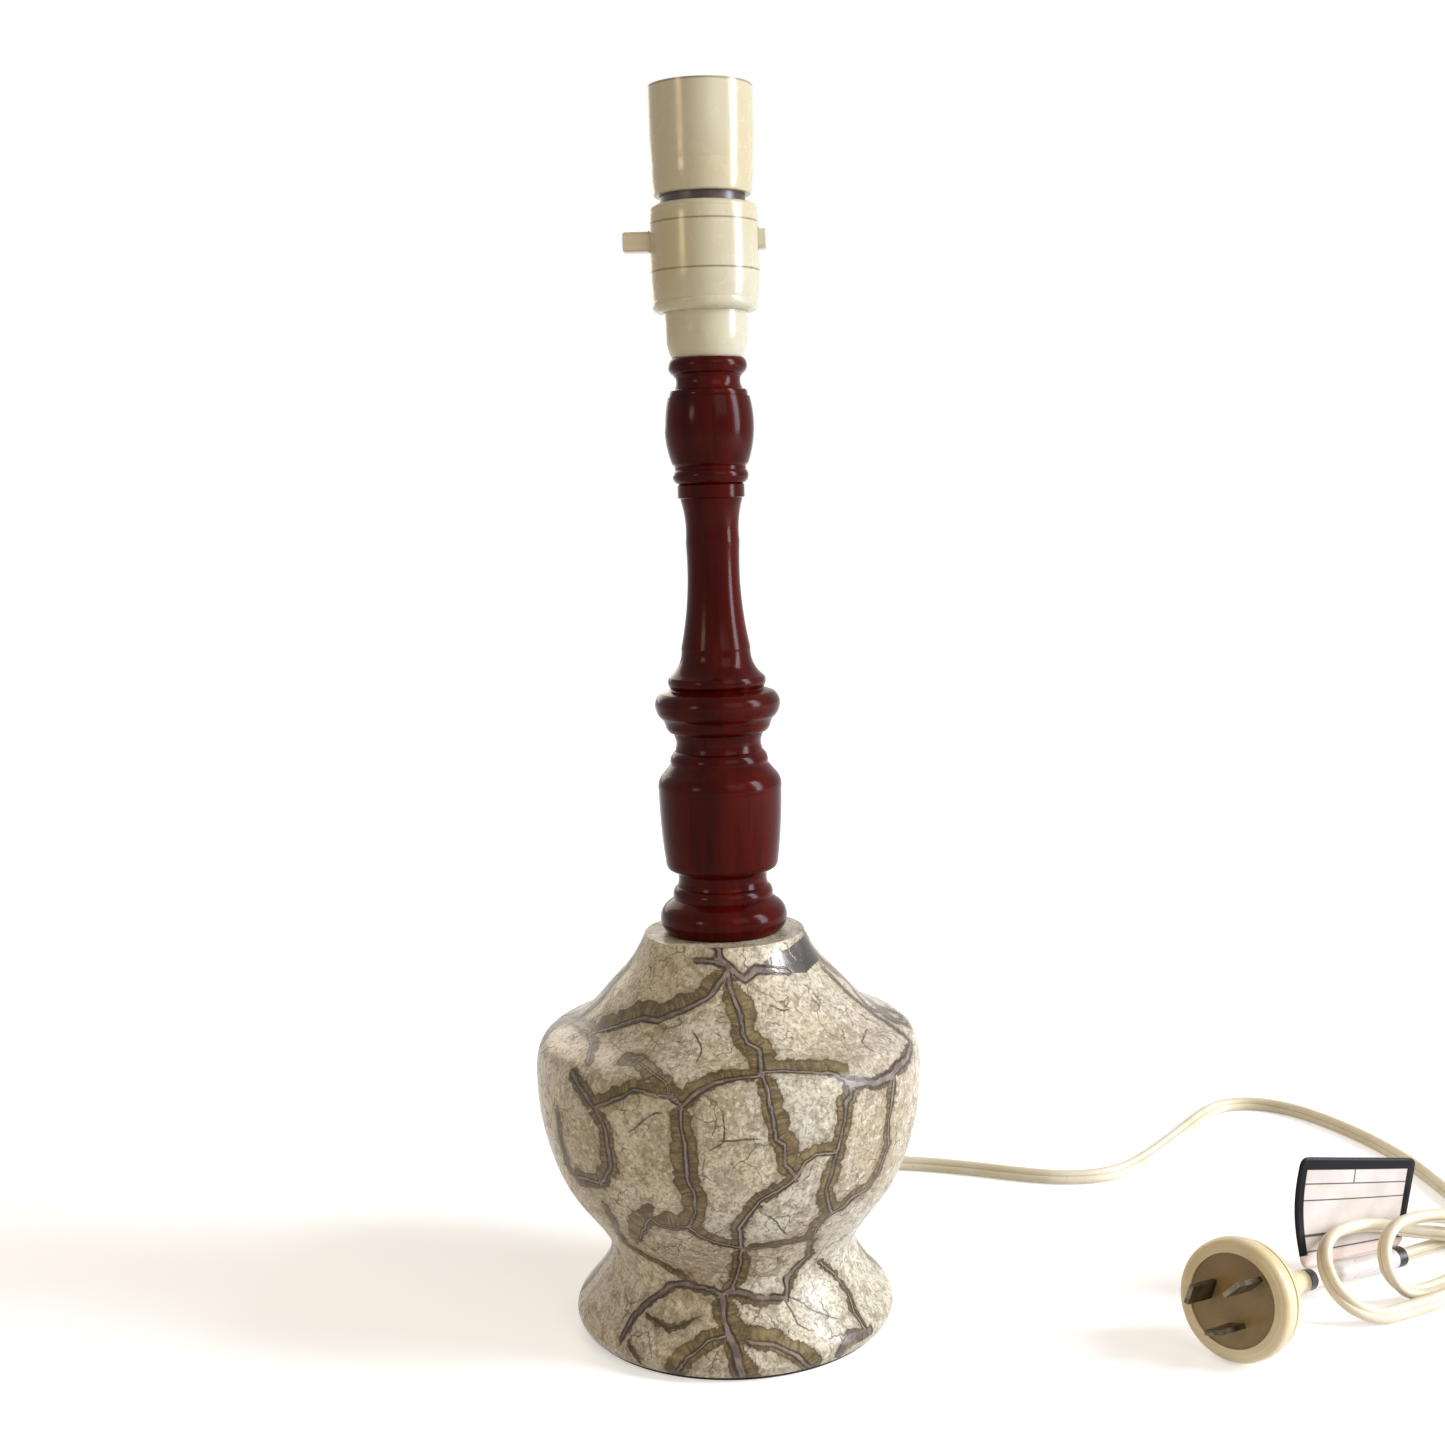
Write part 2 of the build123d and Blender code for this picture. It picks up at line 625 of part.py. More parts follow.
# Plug ring, rear body, recessed face and neck
front_ring = turning(plug_ring_shares, plug_radius, plug_ring_height + plug_rim_height, -plug_ring_height)
front_ring -= rod(plug_face_radius + seat_gap, -plug_ring_height - overrun, plug_rim_height + overrun)
save(plug_plane * front_ring, "plug_ring")
face = rod(plug_face_radius, -plug_ring_height, plug_face_height)
pin_places = [
    ("active", 180 - pin_azimuth, pin_circle, pin_length, -pin_slant),
    ("neutral", pin_azimuth, pin_circle, pin_length, pin_slant),
    ("earth", -90, earth_circle, earth_pin_length, 0),
]
rolled = plug_plane * Rot(Z=plug_roll)
for name, angle, circle, length, slant in pin_places:
    place = Pos(circle * cos(radians(angle)), circle * sin(radians(angle)), 0) * Rot(Z=slant)
    face -= place * block(pin_thickness + seat_gap, pin_width + seat_gap, -pin_root, length)
    save(rolled * place * block(pin_thickness, pin_width, -pin_root, length), "plug_pin_" + name)
save(rolled * face, "plug_face")
rear_depth = plug_body_depth - plug_ring_height
plug_body = turning(plug_body_shares, plug_radius, rear_depth, -plug_body_depth)
groove = rod(plug_radius * 2, -plug_ring_height - groove_height, -plug_ring_height)
groove -= rod(plug_radius * plug_edge_share - groove_depth, -plug_ring_height - groove_height - overrun, overrun)
plug_body -= groove
plug_body -= rod(cord_radius + seat_gap, -plug_body_depth - overrun, -plug_body_depth + neck_radius)
save(plug_plane * plug_body, "plug_body")
neck_length = plug_neck_end - plug_body_depth
neck_shares = [(neck_tip_radius / neck_radius, 0.0, 0), (1.0, 1.0, -0.02)]
neck = turning(neck_shares, neck_radius, neck_length, -plug_neck_end)
save(plug_plane * neck, "plug_neck")

# Tag: a sleeve round the tail beside the plug with a band at each end, and the panel standing on it
tail_wire = tail_path.wire()
tail_length = tail_wire.length
sleeve_radius = cord_radius + seat_gap + band_thickness
tail_way = sweep(Plane(origin=tail_route[0], z_dir=tail_start[1] - tail_start[0]) * Circle(cord_radius + seat_gap),
                 path=tail_wire)


def sleeve(near, far, radius):
    # A tube round the tail between two distances from the plug's neck
    stretch = tail_wire.trim(1 - far / tail_length, 1 - near / tail_length)
    mouth = Plane(origin=stretch @ 0, z_dir=stretch % 0)
    return sweep(mouth * Circle(radius), path=stretch) - tail_way


tag_end = tag_start + tag_length
save(sleeve(tag_start, tag_start + band_length, sleeve_radius), "tag_band_near")
save(sleeve(tag_start + band_length, tag_end - band_length, sleeve_radius), "tag_sleeve")
save(sleeve(tag_end - band_length, tag_end, sleeve_radius), "tag_band_far")
near_place = tail_wire @ (1 - tag_start / tail_length)
far_place = tail_wire @ (1 - tag_end / tail_length)
tag_way = (far_place - near_place).normalized()
tag_front = tag_way.cross(Vector(0, 0, 1)).normalized()
tag_normal = tag_front * cos(radians(tag_lean)) + tag_way.cross(tag_front) * sin(radians(tag_lean)) * -1
tag_plane = Plane(origin=near_place, x_dir=tag_way, z_dir=tag_normal)
panel_low = sleeve_radius + loose_gap
panel = extrude(RectangleRounded(tag_length, tag_height, tag_rounding), tag_thickness / 2, both=True)
save(tag_plane * Pos(tag_length / 2, panel_low + tag_height / 2, 0) * panel, "tag_panel")
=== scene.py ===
import math
import bpy
import numpy as np
from mathutils import Matrix, Vector, noise
from mathutils.kdtree import KDTree


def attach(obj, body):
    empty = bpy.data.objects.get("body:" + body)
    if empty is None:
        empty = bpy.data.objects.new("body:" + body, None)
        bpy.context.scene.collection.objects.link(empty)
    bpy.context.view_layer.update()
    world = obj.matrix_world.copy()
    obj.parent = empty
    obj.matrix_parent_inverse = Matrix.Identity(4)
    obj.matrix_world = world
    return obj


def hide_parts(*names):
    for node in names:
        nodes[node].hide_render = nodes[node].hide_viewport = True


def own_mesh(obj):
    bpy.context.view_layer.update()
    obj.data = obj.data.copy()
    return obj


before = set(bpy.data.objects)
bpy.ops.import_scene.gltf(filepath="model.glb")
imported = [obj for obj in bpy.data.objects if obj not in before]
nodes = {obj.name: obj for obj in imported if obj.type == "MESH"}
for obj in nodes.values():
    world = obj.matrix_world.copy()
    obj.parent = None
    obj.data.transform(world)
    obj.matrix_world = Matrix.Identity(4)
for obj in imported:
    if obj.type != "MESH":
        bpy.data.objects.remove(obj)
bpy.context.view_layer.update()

# the camera stands where the photograph was taken from, and its frame is 1445 x 1445
view = {
    "frame": 1445,
    "focal": 1850,
    "place": (0.0015, -0.625, 0.2877),
    "pitch": math.radians(7.1),
    "roll": math.radians(1.71),
    "sensor": 36,
    "near": 0.01,
}


def cameraAxes():
    up = Vector((0, math.sin(view["pitch"]), math.cos(view["pitch"])))
    ahead = Vector((0, math.cos(view["pitch"]), -math.sin(view["pitch"])))
    side = Vector((1, 0, 0))
    turn, lean = math.cos(view["roll"]), math.sin(view["roll"])
    return side * turn - up * lean, side * lean + up * turn, ahead


def addCamera():
    right, up, ahead = cameraAxes()
    data = bpy.data.cameras.new("camera")
    data.sensor_width = view["sensor"]
    data.lens = view["focal"] * view["sensor"] / view["frame"]
    data.clip_start = view["near"]
    camera = bpy.data.objects.new("camera", data)
    matrix = Matrix((right, up, -ahead)).transposed().to_4x4()
    matrix.translation = view["place"]
    camera.matrix_world = matrix
    bpy.context.scene.collection.objects.link(camera)
    bpy.context.scene.camera = camera


def photoRay(across, down):
    # from a point read on the photograph to a direction in the model's frame
    right, up, ahead = cameraAxes()
    middle = view["frame"] / 2
    way = ahead + right * ((across - middle) / view["focal"]) - up * ((down - middle) / view["focal"])
    return Vector(view["place"]), way.normalized()


addCamera()
print("camera set")


def linear(code):
    # a colour as it is picked on screen, made linear
    parts = [int(code[i:i + 2], 16) / 255 for i in (0, 2, 4)]
    return [c / 12.92 if c < 0.04045 else ((c + 0.055) / 1.055) ** 2.4 for c in parts] + [1.0]


def meshPiece(name, points, faces, edges=(), smooth=True):
    mesh = bpy.data.meshes.new(name)
    mesh.from_pydata([tuple(p) for p in points], list(edges), faces)
    mesh.update()
    piece = bpy.data.objects.new(name, mesh)
    bpy.context.scene.collection.objects.link(piece)
    if smooth:
        mesh.polygons.foreach_set("use_smooth", [True] * len(mesh.polygons))
    return piece


def evaluated(piece):
    return piece.evaluated_get(bpy.context.evaluated_depsgraph_get())


class Value:
    # one output in a node tree, with sums written as sums
    def __init__(self, owner, socket):
        self.owner = owner
        self.socket = socket

    def sum(self, operation, first, second=0.0):
        return self.owner.node("ShaderNodeMath", {0: first, 1: second}, operation=operation)

    def __add__(self, other): return self.sum("ADD", self, other)
    def __radd__(self, other): return self.sum("ADD", other, self)
    def __sub__(self, other): return self.sum("SUBTRACT", self, other)
    def __rsub__(self, other): return self.sum("SUBTRACT", other, self)
    def __mul__(self, other): return self.sum("MULTIPLY", self, other)
    def __gt__(self, other): return self.sum("GREATER_THAN", self, other)
    def __abs__(self): return self.sum("ABSOLUTE", self)
    def most(self, other): return self.sum("MAXIMUM", self, other)
    def root(self): return self.sum("SQRT", self)
    def cosine(self): return self.sum("COSINE", self)
    def sine(self): return self.sum("SINE", self)

    def parts(self):
        made = self.owner.tree.nodes.new("ShaderNodeSeparateXYZ")
        self.owner.tree.links.new(self.socket, made.inputs[0])
        return [Value(self.owner, output) for output in made.outputs]


class Tree:
    # a node tree, and one method that adds any node to it, its settings first
    def __init__(self, tree):
        self.tree = tree

    def node(self, kind, sockets=None, output=0, **settings):
        made = self.tree.nodes.new(kind)
        for key, value in settings.items():
            setattr(made, key, value)
        for key, value in (sockets or {}).items():
            if isinstance(value, Value):
                self.tree.links.new(value.socket, made.inputs[key])
            else:
                made.inputs[key].default_value = value
        return Value(self, made.outputs[output])

    def vector(self, x, y, z):
        return self.node("ShaderNodeCombineXYZ", {0: x, 1: y, 2: z})


class Growth(Tree):
    # a geometry tree with named inputs, run once on a piece and left there as a plain mesh
    def __init__(self, name, **kinds):
        super().__init__(bpy.data.node_groups.new(name, "GeometryNodeTree"))
        sockets = self.tree.interface
        names = {"Geometry": "Geometry", **kinds, "Material": "Material"}
        self.keys = {key: sockets.new_socket(key, in_out="INPUT", socket_type="NodeSocket" + kind).identifier
                     for key, kind in names.items()}
        sockets.new_socket("Geometry", in_out="OUTPUT", socket_type="NodeSocketGeometry")
        entry = self.tree.nodes.new("NodeGroupInput")
        self.given = {key: Value(self, entry.outputs[key]) for key in names}

    def run(self, piece, shape, **values):
        whole = self.node("GeometryNodeRealizeInstances", {"Geometry": shape})
        whole = self.node("GeometryNodeSetMaterial", {"Geometry": whole, "Material": self.given["Material"]})
        self.tree.links.new(whole.socket, self.tree.nodes.new("NodeGroupOutput").inputs[0])
        modifier = piece.modifiers.new(self.tree.name, "NODES")
        modifier.node_group = self.tree
        for key, value in values.items():
            modifier[self.keys[key]] = value
        mesh = bpy.data.meshes.new_from_object(evaluated(piece))
        piece.modifiers.clear()
        piece.data = mesh
        return piece


class Finish(Tree):
    # a material on one Principled shader
    def __init__(self, name, **fixed):
        self.material = bpy.data.materials.new(name)
        self.material.use_nodes = True
        super().__init__(self.material.node_tree)
        self.surface = self.tree.nodes["Principled BSDF"]
        for key, value in fixed.items():
            socket = key.replace("_", " ").title().replace("Ior", "IOR")
            self.surface.inputs[socket].default_value = value
        self.place = self.node("ShaderNodeTexCoord", output="Object")

    def feed(self, socket, value):
        self.tree.links.new(value.socket, self.surface.inputs[socket])

    def stretch(self, x, y, z):
        return self.node("ShaderNodeVectorMath", {0: self.place, 1: (x, y, z)}, operation="MULTIPLY")

    def moved(self, x, y, z):
        return self.node("ShaderNodeVectorMath", {0: self.place, 1: (x, y, z)}, operation="ADD")

    def noise(self, scale, detail=3.0, rough=0.5, source=None):
        return self.node("ShaderNodeTexNoise", {"Vector": source or self.place, "Scale": scale, "Detail": detail,
                                                "Roughness": rough})

    def step(self, value, low, high, start=0.0, end=1.0):
        return self.node("ShaderNodeMapRange", {"Value": value, "From Min": low, "From Max": high, "To Min": start,
                                                "To Max": end}, interpolation_type="SMOOTHSTEP")

    def attribute(self, name, output="Fac"):
        return self.node("ShaderNodeAttribute", output=output, attribute_name=name, attribute_type="GEOMETRY")

    def mix(self, factor, first, second):
        first = linear(first) if isinstance(first, str) else first
        second = linear(second) if isinstance(second, str) else second
        return self.node("ShaderNodeMix", {0: factor, 6: first, 7: second}, output=2, data_type="RGBA")

    def bump(self, height, distance, strength=1.0, under=None):
        sockets = {"Height": height, "Distance": distance, "Strength": strength}
        if under:
            sockets["Normal"] = under
        return self.node("ShaderNodeBump", sockets)


# ceramic body: a smooth glazed skin with its own network of veins
ceramic = {
    "radius": 0.0664,
    "height": 0.138,
    "shares": [
        (0.812, 0.011), (0.836, 0.036), (0.780, 0.087), (0.687, 0.145), (0.646, 0.203), (0.694, 0.261),
        (0.848, 0.362), (0.958, 0.493), (1.000, 0.638), (0.945, 0.747), (0.816, 0.776), (0.621, 0.862),
        (0.477, 0.941), (0.413, 1.000),
    ],
    "inner": [(0.0053, 0.138), (0.0053, 0.026), (0.0379, 0.026), (0.0493, 0.005), (0.0493, 0.00152)],
    "around": 430,
    "rows": 212,
    "sharp": 0.7,
    "sightFrom": 0.5,
    "sightStep": 0.00018,
    "sightSteps": 900,
    "patchRise": 0.02,
    "noPatch": -0.01,
}

# how the veins are laid on it, in metres, and the made-up one up each side
veinRun = {
    "pixels": 5,
    "apart": 0.0004,
    "longest": 0.012,
    "stagger": 0.37,
    "backStagger": 20,
    "wander": 0.0007,
    "wanderScales": (150, 420),
    "seed": 7,
}
sideVein = {
    "count": 400,
    "low": 0.002,
    "rise": 0.134,
    "swing": 0.16,
    "swingPace": 70,
    "ripple": 0.05,
    "ripplePace": 230,
    "stagger": 40,
    "width": 0.0013,
    "bands": (0.003, 0.0015),
}

# veins as read on the photograph: width and the bands to the left and right of the way they run,
# in millimetres, then points
veins = [
    (1.7, 0.8, 1.5, [(716, 940), (717, 950), (718, 959), (727, 966)]),
    (1.5, 1.0, 1.0, [(697, 961), (711, 962), (727, 966)]),
    (1.5, 0.6, 5.5, [(727, 966), (722, 980), (714, 990), (708, 998), (697, 1004), (673, 1015), (659, 1020),
                     (643, 1019), (625, 1024), (602, 1031), (590, 1034)]),
    (2.2, 1.5, 3.0, [(590, 1034), (579, 1024), (566, 1019), (553, 1026), (547, 1036), (541, 1044)]),
    (1.7, 0.8, 1.0, [(572, 1020), (592, 1002), (611, 983), (627, 967)]),
    (1.2, 2.5, 0.5, [(590, 1034), (591, 1047), (586, 1063)]),
    (1.5, 2.5, 2.5, [(573, 1075), (581, 1088), (594, 1107)]),
    (1.2, 3.5, 0.5, [(594, 1107), (602, 1104), (622, 1097), (633, 1091), (649, 1094), (669, 1096), (680, 1105),
                     (681, 1109)]),
    (1.3, 4.5, 1.2, [(681, 1109), (689, 1101), (699, 1091), (713, 1084), (739, 1078), (761, 1076)]),
    (1.9, 1.0, 0.5, [(727, 966), (736, 976), (745, 979), (756, 970), (772, 970), (788, 972)]),
    (1.3, 4.5, 3.2, [(727, 972), (730, 986), (736, 1004), (741, 1016), (741, 1031), (747, 1042), (759, 1049),
                     (761, 1062), (761, 1075)]),
    (1.1, 4.8, 0.4, [(761, 1072), (784, 1071), (809, 1071), (832, 1074), (846, 1081)]),
    (2.2, 2.0, 2.2, [(846, 1083), (858, 1084), (876, 1083), (892, 1075), (898, 1067), (908, 1058),
                     (910, 1042)]),
    (0.5, 0.8, 1.5, [(910, 1042), (896, 1029), (872, 1013), (848, 994), (824, 969)]),
    (1.3, 2.5, 3.0, [(850, 1085), (852, 1094), (846, 1103), (845, 1123), (838, 1145), (833, 1172), (827, 1189),
                     (827, 1201), (832, 1213)]),
    (1.2, 4.2, 2.4, [(762, 1076), (765, 1084), (769, 1104), (774, 1126), (777, 1140), (785, 1146), (786, 1165),
                     (796, 1179)]),
    (1.0, 3.5, 0.4, [(797, 1178), (806, 1162), (815, 1155), (837, 1152)]),
    (1.0, 1.2, 2.4, [(796, 1179), (774, 1192), (761, 1200), (749, 1215), (739, 1228), (741, 1249)]),
    (0.9, 0.8, 3.2, [(741, 1248), (714, 1242), (700, 1235), (689, 1227)]),
    (1.1, 3.0, 3.6, [(681, 1109), (681, 1120), (684, 1141), (688, 1181), (695, 1198), (695, 1215),
                     (689, 1227)]),
    (0.7, 1.5, 5.0, [(689, 1227), (678, 1227), (657, 1224), (651, 1218), (639, 1239)]),
    (0.7, 3.0, 0.6, [(741, 1250), (777, 1246), (811, 1239), (819, 1225), (832, 1213)]),
    (1.1, 2.6, 1.2, [(832, 1213), (844, 1206), (856, 1195), (867, 1189), (879, 1171), (888, 1146), (889, 1121),
                     (892, 1107), (894, 1076)]),
    (1.1, 2.6, 2.5, [(741, 1250), (741, 1262), (738, 1276), (733, 1289), (722, 1296)]),
    (2.1, 4.5, 3.0, [(722, 1297), (724, 1315), (728, 1335), (735, 1348), (738, 1365), (744, 1380)]),
    (1.5, 1.5, 1.0, [(722, 1296), (711, 1290), (688, 1283), (670, 1287), (661, 1294), (643, 1305), (632, 1319),
                     (621, 1339)]),
    (1.5, 0.6, 2.0, [(727, 1293), (737, 1292), (754, 1297), (786, 1299), (786, 1278), (795, 1267), (808, 1255),
                     (811, 1240)]),
    (1.0, 2.2, 3.8, [(727, 1335), (705, 1342), (688, 1358), (677, 1371)]),
    (1.2, 4.0, 1.8, [(751, 1342), (774, 1344), (797, 1355), (810, 1367)]),
    (0.7, 1.2, 1.2, [(820, 1262), (831, 1271), (847, 1292), (856, 1315), (869, 1333)]),
    (3.0, 1.0, 1.0, [(869, 1331), (851, 1337), (840, 1353)]),
    (1.0, 1.5, 1.0, [(617, 1249), (600, 1267), (589, 1289), (586, 1306)]),
    (1.2, 2.2, 3.0, [(594, 1107), (605, 1128), (609, 1151), (611, 1169), (602, 1183), (580, 1178)]),
    # this vein follows the waist crease: its thin line is drawn along the crease, and its bands are painted crease
    # shade
    (0.5, 1.0, 2.0, [(607, 1206), (625, 1242), (639, 1251), (661, 1262), (688, 1278)]),
    (0.5, 2.0, 1.0, [(557, 1112), (561, 1140), (567, 1165), (578, 1181), (594, 1185), (609, 1180)]),
    (0.2, 0, 0, [(792, 1298), (811, 1309), (836, 1319)]),
    (0.2, 0, 0, [(784, 1300), (798, 1325), (812, 1330)]),
    (0.2, 0, 0, [(632, 1131), (648, 1116), (660, 1112)]),
    (0.2, 0, 0, [(712, 1149), (725, 1142), (760, 1138)]),
    (0.2, 0, 0, [(771, 1217), (786, 1234)]),
    (0.6, 2.5, 2.5, [(626, 1059), (638, 1062), (650, 1071), (665, 1083), (679, 1102)]),
    (0.4, 0.8, 0.8, [(647, 1314), (668, 1329), (683, 1325), (698, 1317)]),
    (0.4, 0.8, 0.8, [(629, 1344), (638, 1362)]),
    (0.2, 0, 0, [(722, 1112), (725, 1124), (724, 1141)]),
    (0.2, 0, 0, [(773, 1006), (781, 1010), (788, 1010)]),
    (0.2, 0, 0, [(696, 1036), (702, 1050), (697, 1062)]),
    (0.2, 0, 0, [(866, 1030), (862, 1043), (874, 1052)]),
]
greyPatch = [
    (756, 969), (768, 958), (788, 948), (803, 936), (808, 935), (816, 952), (819, 960), (806, 973), (790, 974),
]


def ceramicOutline():
    # the same points as the solid's outline, joined by one natural cubic spline
    knots = np.array([(r * ceramic["radius"], h * ceramic["height"]) for r, h in ceramic["shares"]])
    spans = np.linalg.norm(np.diff(knots, axis=0), axis=1)
    count = len(knots)
    at = np.concatenate([[0], np.cumsum(spans)])
    system = np.eye(count)
    right = np.zeros((count, 2))
    for i in range(1, count - 1):
        system[i, i - 1:i + 2] = spans[i - 1], 2 * (spans[i - 1] + spans[i]), spans[i]
        right[i] = 6 * ((knots[i + 1] - knots[i]) / spans[i] - (knots[i] - knots[i - 1]) / spans[i - 1])
    bends = np.linalg.solve(system, right)
    outline = []
    for s in np.linspace(0, at[-1], ceramic["rows"]):
        i = min(int(np.searchsorted(at, s, side="right")) - 1, count - 2)
        a, b, h = at[i + 1] - s, s - at[i], spans[i]
        outline.append(bends[i] * a ** 3 / (6 * h) + bends[i + 1] * b ** 3 / (6 * h)
                       + (knots[i] / h - bends[i] * h / 6) * a + (knots[i + 1] / h - bends[i + 1] * h / 6) * b)
    return np.array(outline)


ceramicLine = ceramicOutline()
upward = ceramicLine[np.argsort(ceramicLine[:, 1])]


def onCeramic(across, down):
    # where the line of sight first meets the glaze, or passes it most closely
    start, way = photoRay(across, down)
    nearest, best = None, 1.0
    for i in range(ceramic["sightSteps"]):
        point = start + way * (ceramic["sightFrom"] + i * ceramic["sightStep"])
        gap = math.hypot(point.x, point.y) - float(np.interp(point.z, upward[:, 1], upward[:, 0]))
        if gap < best:
            nearest, best = point, gap
        if gap <= 0:
            break
    return nearest


def readVein(index, width, left, right, points):
    # points along one vein, as (place, heading, distance along, width, bands); what the shape hides is left out
    samples, along = [], index * veinRun["stagger"]
    for (x0, y0), (x1, y1) in zip(points, points[1:]):
        steps = max(2, int(math.hypot(x1 - x0, y1 - y0) / veinRun["pixels"]))
        run = [onCeramic(x0 + (x1 - x0) * i / steps, y0 + (y1 - y0) * i / steps) for i in range(steps + 1)]
        for a, b in zip(run, run[1:]):
            length = (b - a).length
            if length > veinRun["longest"]:
                continue
            pieces = max(1, int(length / veinRun["apart"]))
            samples += [(a.lerp(b, i / pieces), (b - a) / length, along + length * i / pieces, width / 1000,
                         (left / 1000, right / 1000)) for i in range(pieces)]
            along += length
    return samples


def madeVein(side):
    # a wavering line up one side, where the read veins and their turned copies meet
    samples, last = [], None
    for i in range(sideVein["count"]):
        z = sideVein["low"] + sideVein["rise"] * i / (sideVein["count"] - 1)
        radius = float(np.interp(z, upward[:, 1], upward[:, 0]))
        turn = math.pi / 2 * side + sideVein["swing"] * math.sin(z * sideVein["swingPace"] + side)
        turn += sideVein["ripple"] * math.sin(z * sideVein["ripplePace"])
        place = Vector((radius * math.sin(turn), -radius * math.cos(turn), z))
        way = (place - last).normalized() if last else Vector((0, 0, 1))
        samples.append((place, way, sideVein["stagger"] + side + z, sideVein["width"], sideVein["bands"]))
        last = place
    return samples


def veinSamples():
    samples = []
    for index, vein in enumerate(veins):
        samples += readVein(index, *vein)
    samples += [(Vector((-p.x, -p.y, p.z)), Vector((-w.x, -w.y, w.z)), along + veinRun["backStagger"], *rest)
                for p, w, along, *rest in samples]
    return samples + madeVein(-1) + madeVein(1)


def turnedSkin(outline, material):
    # a grid wrapped round the axis, each of its rows on one point of the outline
    g = Growth("turned_skin", Around="Int", Rows="Int", Sharp="Float")
    place = g.node("GeometryNodeInputPosition")
    across, up, _ = place.parts()
    grid = g.node("GeometryNodeMeshGrid", {"Size X": 1.0, "Size Y": 1.0, "Vertices X": g.given["Around"] + 1,
                                           "Vertices Y": g.given["Rows"]})
    row = g.node("FunctionNodeFloatToInt", {0: (up + 0.5) * (g.given["Rows"] - 1)}, rounding_mode="ROUND")
    point = g.node("GeometryNodeSampleIndex", {"Geometry": g.given["Geometry"], "Value": place, "Index": row},
                   data_type="FLOAT_VECTOR")
    radius, _, height = point.parts()
    turn = across * (2 * math.pi)
    around = g.vector(radius * turn.cosine(), radius * turn.sine(), height)
    skin = g.node("GeometryNodeSetPosition", {"Geometry": grid, "Position": around})
    skin = g.node("GeometryNodeMergeByDistance", {"Geometry": skin, "Distance": 1e-6})
    skin = g.node("GeometryNodeSetShadeSmooth", {"Geometry": skin, "Shade Smooth": True})
    corner = g.node("GeometryNodeInputMeshEdgeAngle") > g.given["Sharp"]
    skin = g.node("GeometryNodeSetShadeSmooth", {"Geometry": skin, "Selection": corner, "Shade Smooth": False},
                  domain="EDGE")
    line = meshPiece("glazed_ceramic", [(r, 0, z) for r, z in outline], [], smooth=False)
    return g.run(line, skin, Around=ceramic["around"], Rows=len(outline), Sharp=ceramic["sharp"], Material=material)


def patchPlane():
    # the grey patch laid flat: its middle, the way it faces, its side and up, and its corners measured along these
    corners = [onCeramic(*p) for p in greyPatch]
    middle = sum(corners, Vector()) / len(corners)
    facing = Vector((middle.x, middle.y, ceramic["patchRise"])).normalized()
    side = Vector((0, 0, 1)).cross(facing).normalized()
    up = facing.cross(side)
    return middle, facing, side, up, [((p - middle).dot(side), (p - middle).dot(up)) for p in corners]


def wandered(place):
    # the place a little off its own, so that the veins waver
    near, far = (Vector(noise.noise_vector(place * scale)) for scale in veinRun["wanderScales"])
    return place + (near + far * 0.5) * veinRun["wander"]


def buildCeramic(material):
    outline = [tuple(p) for p in ceramicLine] + ceramic["inner"]
    piece = turnedSkin(outline + outline[:1], material)
    samples = veinSamples()
    tree = KDTree(len(samples))
    for i, sample in enumerate(samples):
        tree.insert(sample[0], i)
    tree.balance()
    middle, facing, side, up, corners = patchPlane()
    noise.seed_set(veinRun["seed"])
    veinData, reachData, bandData, patchData = [], [], [], []
    for vertex in piece.data.vertices:
        place = vertex.co
        here = wandered(place)
        spot, index, distance = tree.find(here)
        _, way, along, width, bands = samples[index]
        onRight = way.cross(vertex.normal).dot(here - spot) > 0
        veinData += [distance if onRight else -distance, along, width]
        reachData.append(distance)
        bandData.append(bands[onRight])
        lean = place - middle
        seen = place.dot(facing) > 0
        patchData.append(insideBy(corners, lean.dot(side), lean.dot(up)) if seen else ceramic["noPatch"])
    for name, kind, key, data in (("vein", "FLOAT_VECTOR", "vector", veinData), ("reach", "FLOAT", "value", reachData),
                                  ("band", "FLOAT", "value", bandData), ("patch", "FLOAT", "value", patchData)):
        piece.data.attributes.new(name, kind, "POINT").data.foreach_set(key, data)
    return piece


def insideBy(corners, x, y):
    # how far a point is inside a flat outline, or outside it as a negative distance
    inside, nearest = False, 1.0
    for (x0, y0), (x1, y1) in zip(corners, corners[1:] + corners[:1]):
        if (y0 > y) != (y1 > y) and x < (x1 - x0) * (y - y0) / (y1 - y0) + x0:
            inside = not inside
        run = (x1 - x0) ** 2 + (y1 - y0) ** 2
        share = min(1, max(0, ((x - x0) * (x1 - x0) + (y - y0) * (y1 - y0)) / run))
        nearest = min(nearest, math.hypot(x - x0 - share * (x1 - x0), y - y0 - share * (y1 - y0)))
    return nearest if inside else -nearest


glaze = {
    "cells": ("b4a98e", "d5ccb4"),
    "greyCells": "cbc4b6",
    "warmCells": "b39c80",
    "strokes": "8b7c64",
    "mottle": "8d7e65",
    "specks": "746750",
    "paleSpecks": "dfd8c6",
    "crack": "55462f",
    "crackles": ((95.0, 0.034, 75, 0.47), (230.0, 0.05, 110, 0.5)),
    "crackBend": (0.006, 0.006, 0.006),
    "band": ("42341e", "8a7950"),
    "bandMottle": "3d301c",
    "bandSpecks": "8d7d57",
    "bandClouds": "9a8a62",
    "bandEdge": "2e2214",
    "bandStain": "6f5f42",
    "ragged": (0.0042, 1.2),
    "patch": ("433f3c", "68625d"),
    "patchMetal": 0.45,
    "core": ("62554d", "84756b"),
    "thinCore": "93867a",
    "rim": "30251c",
}


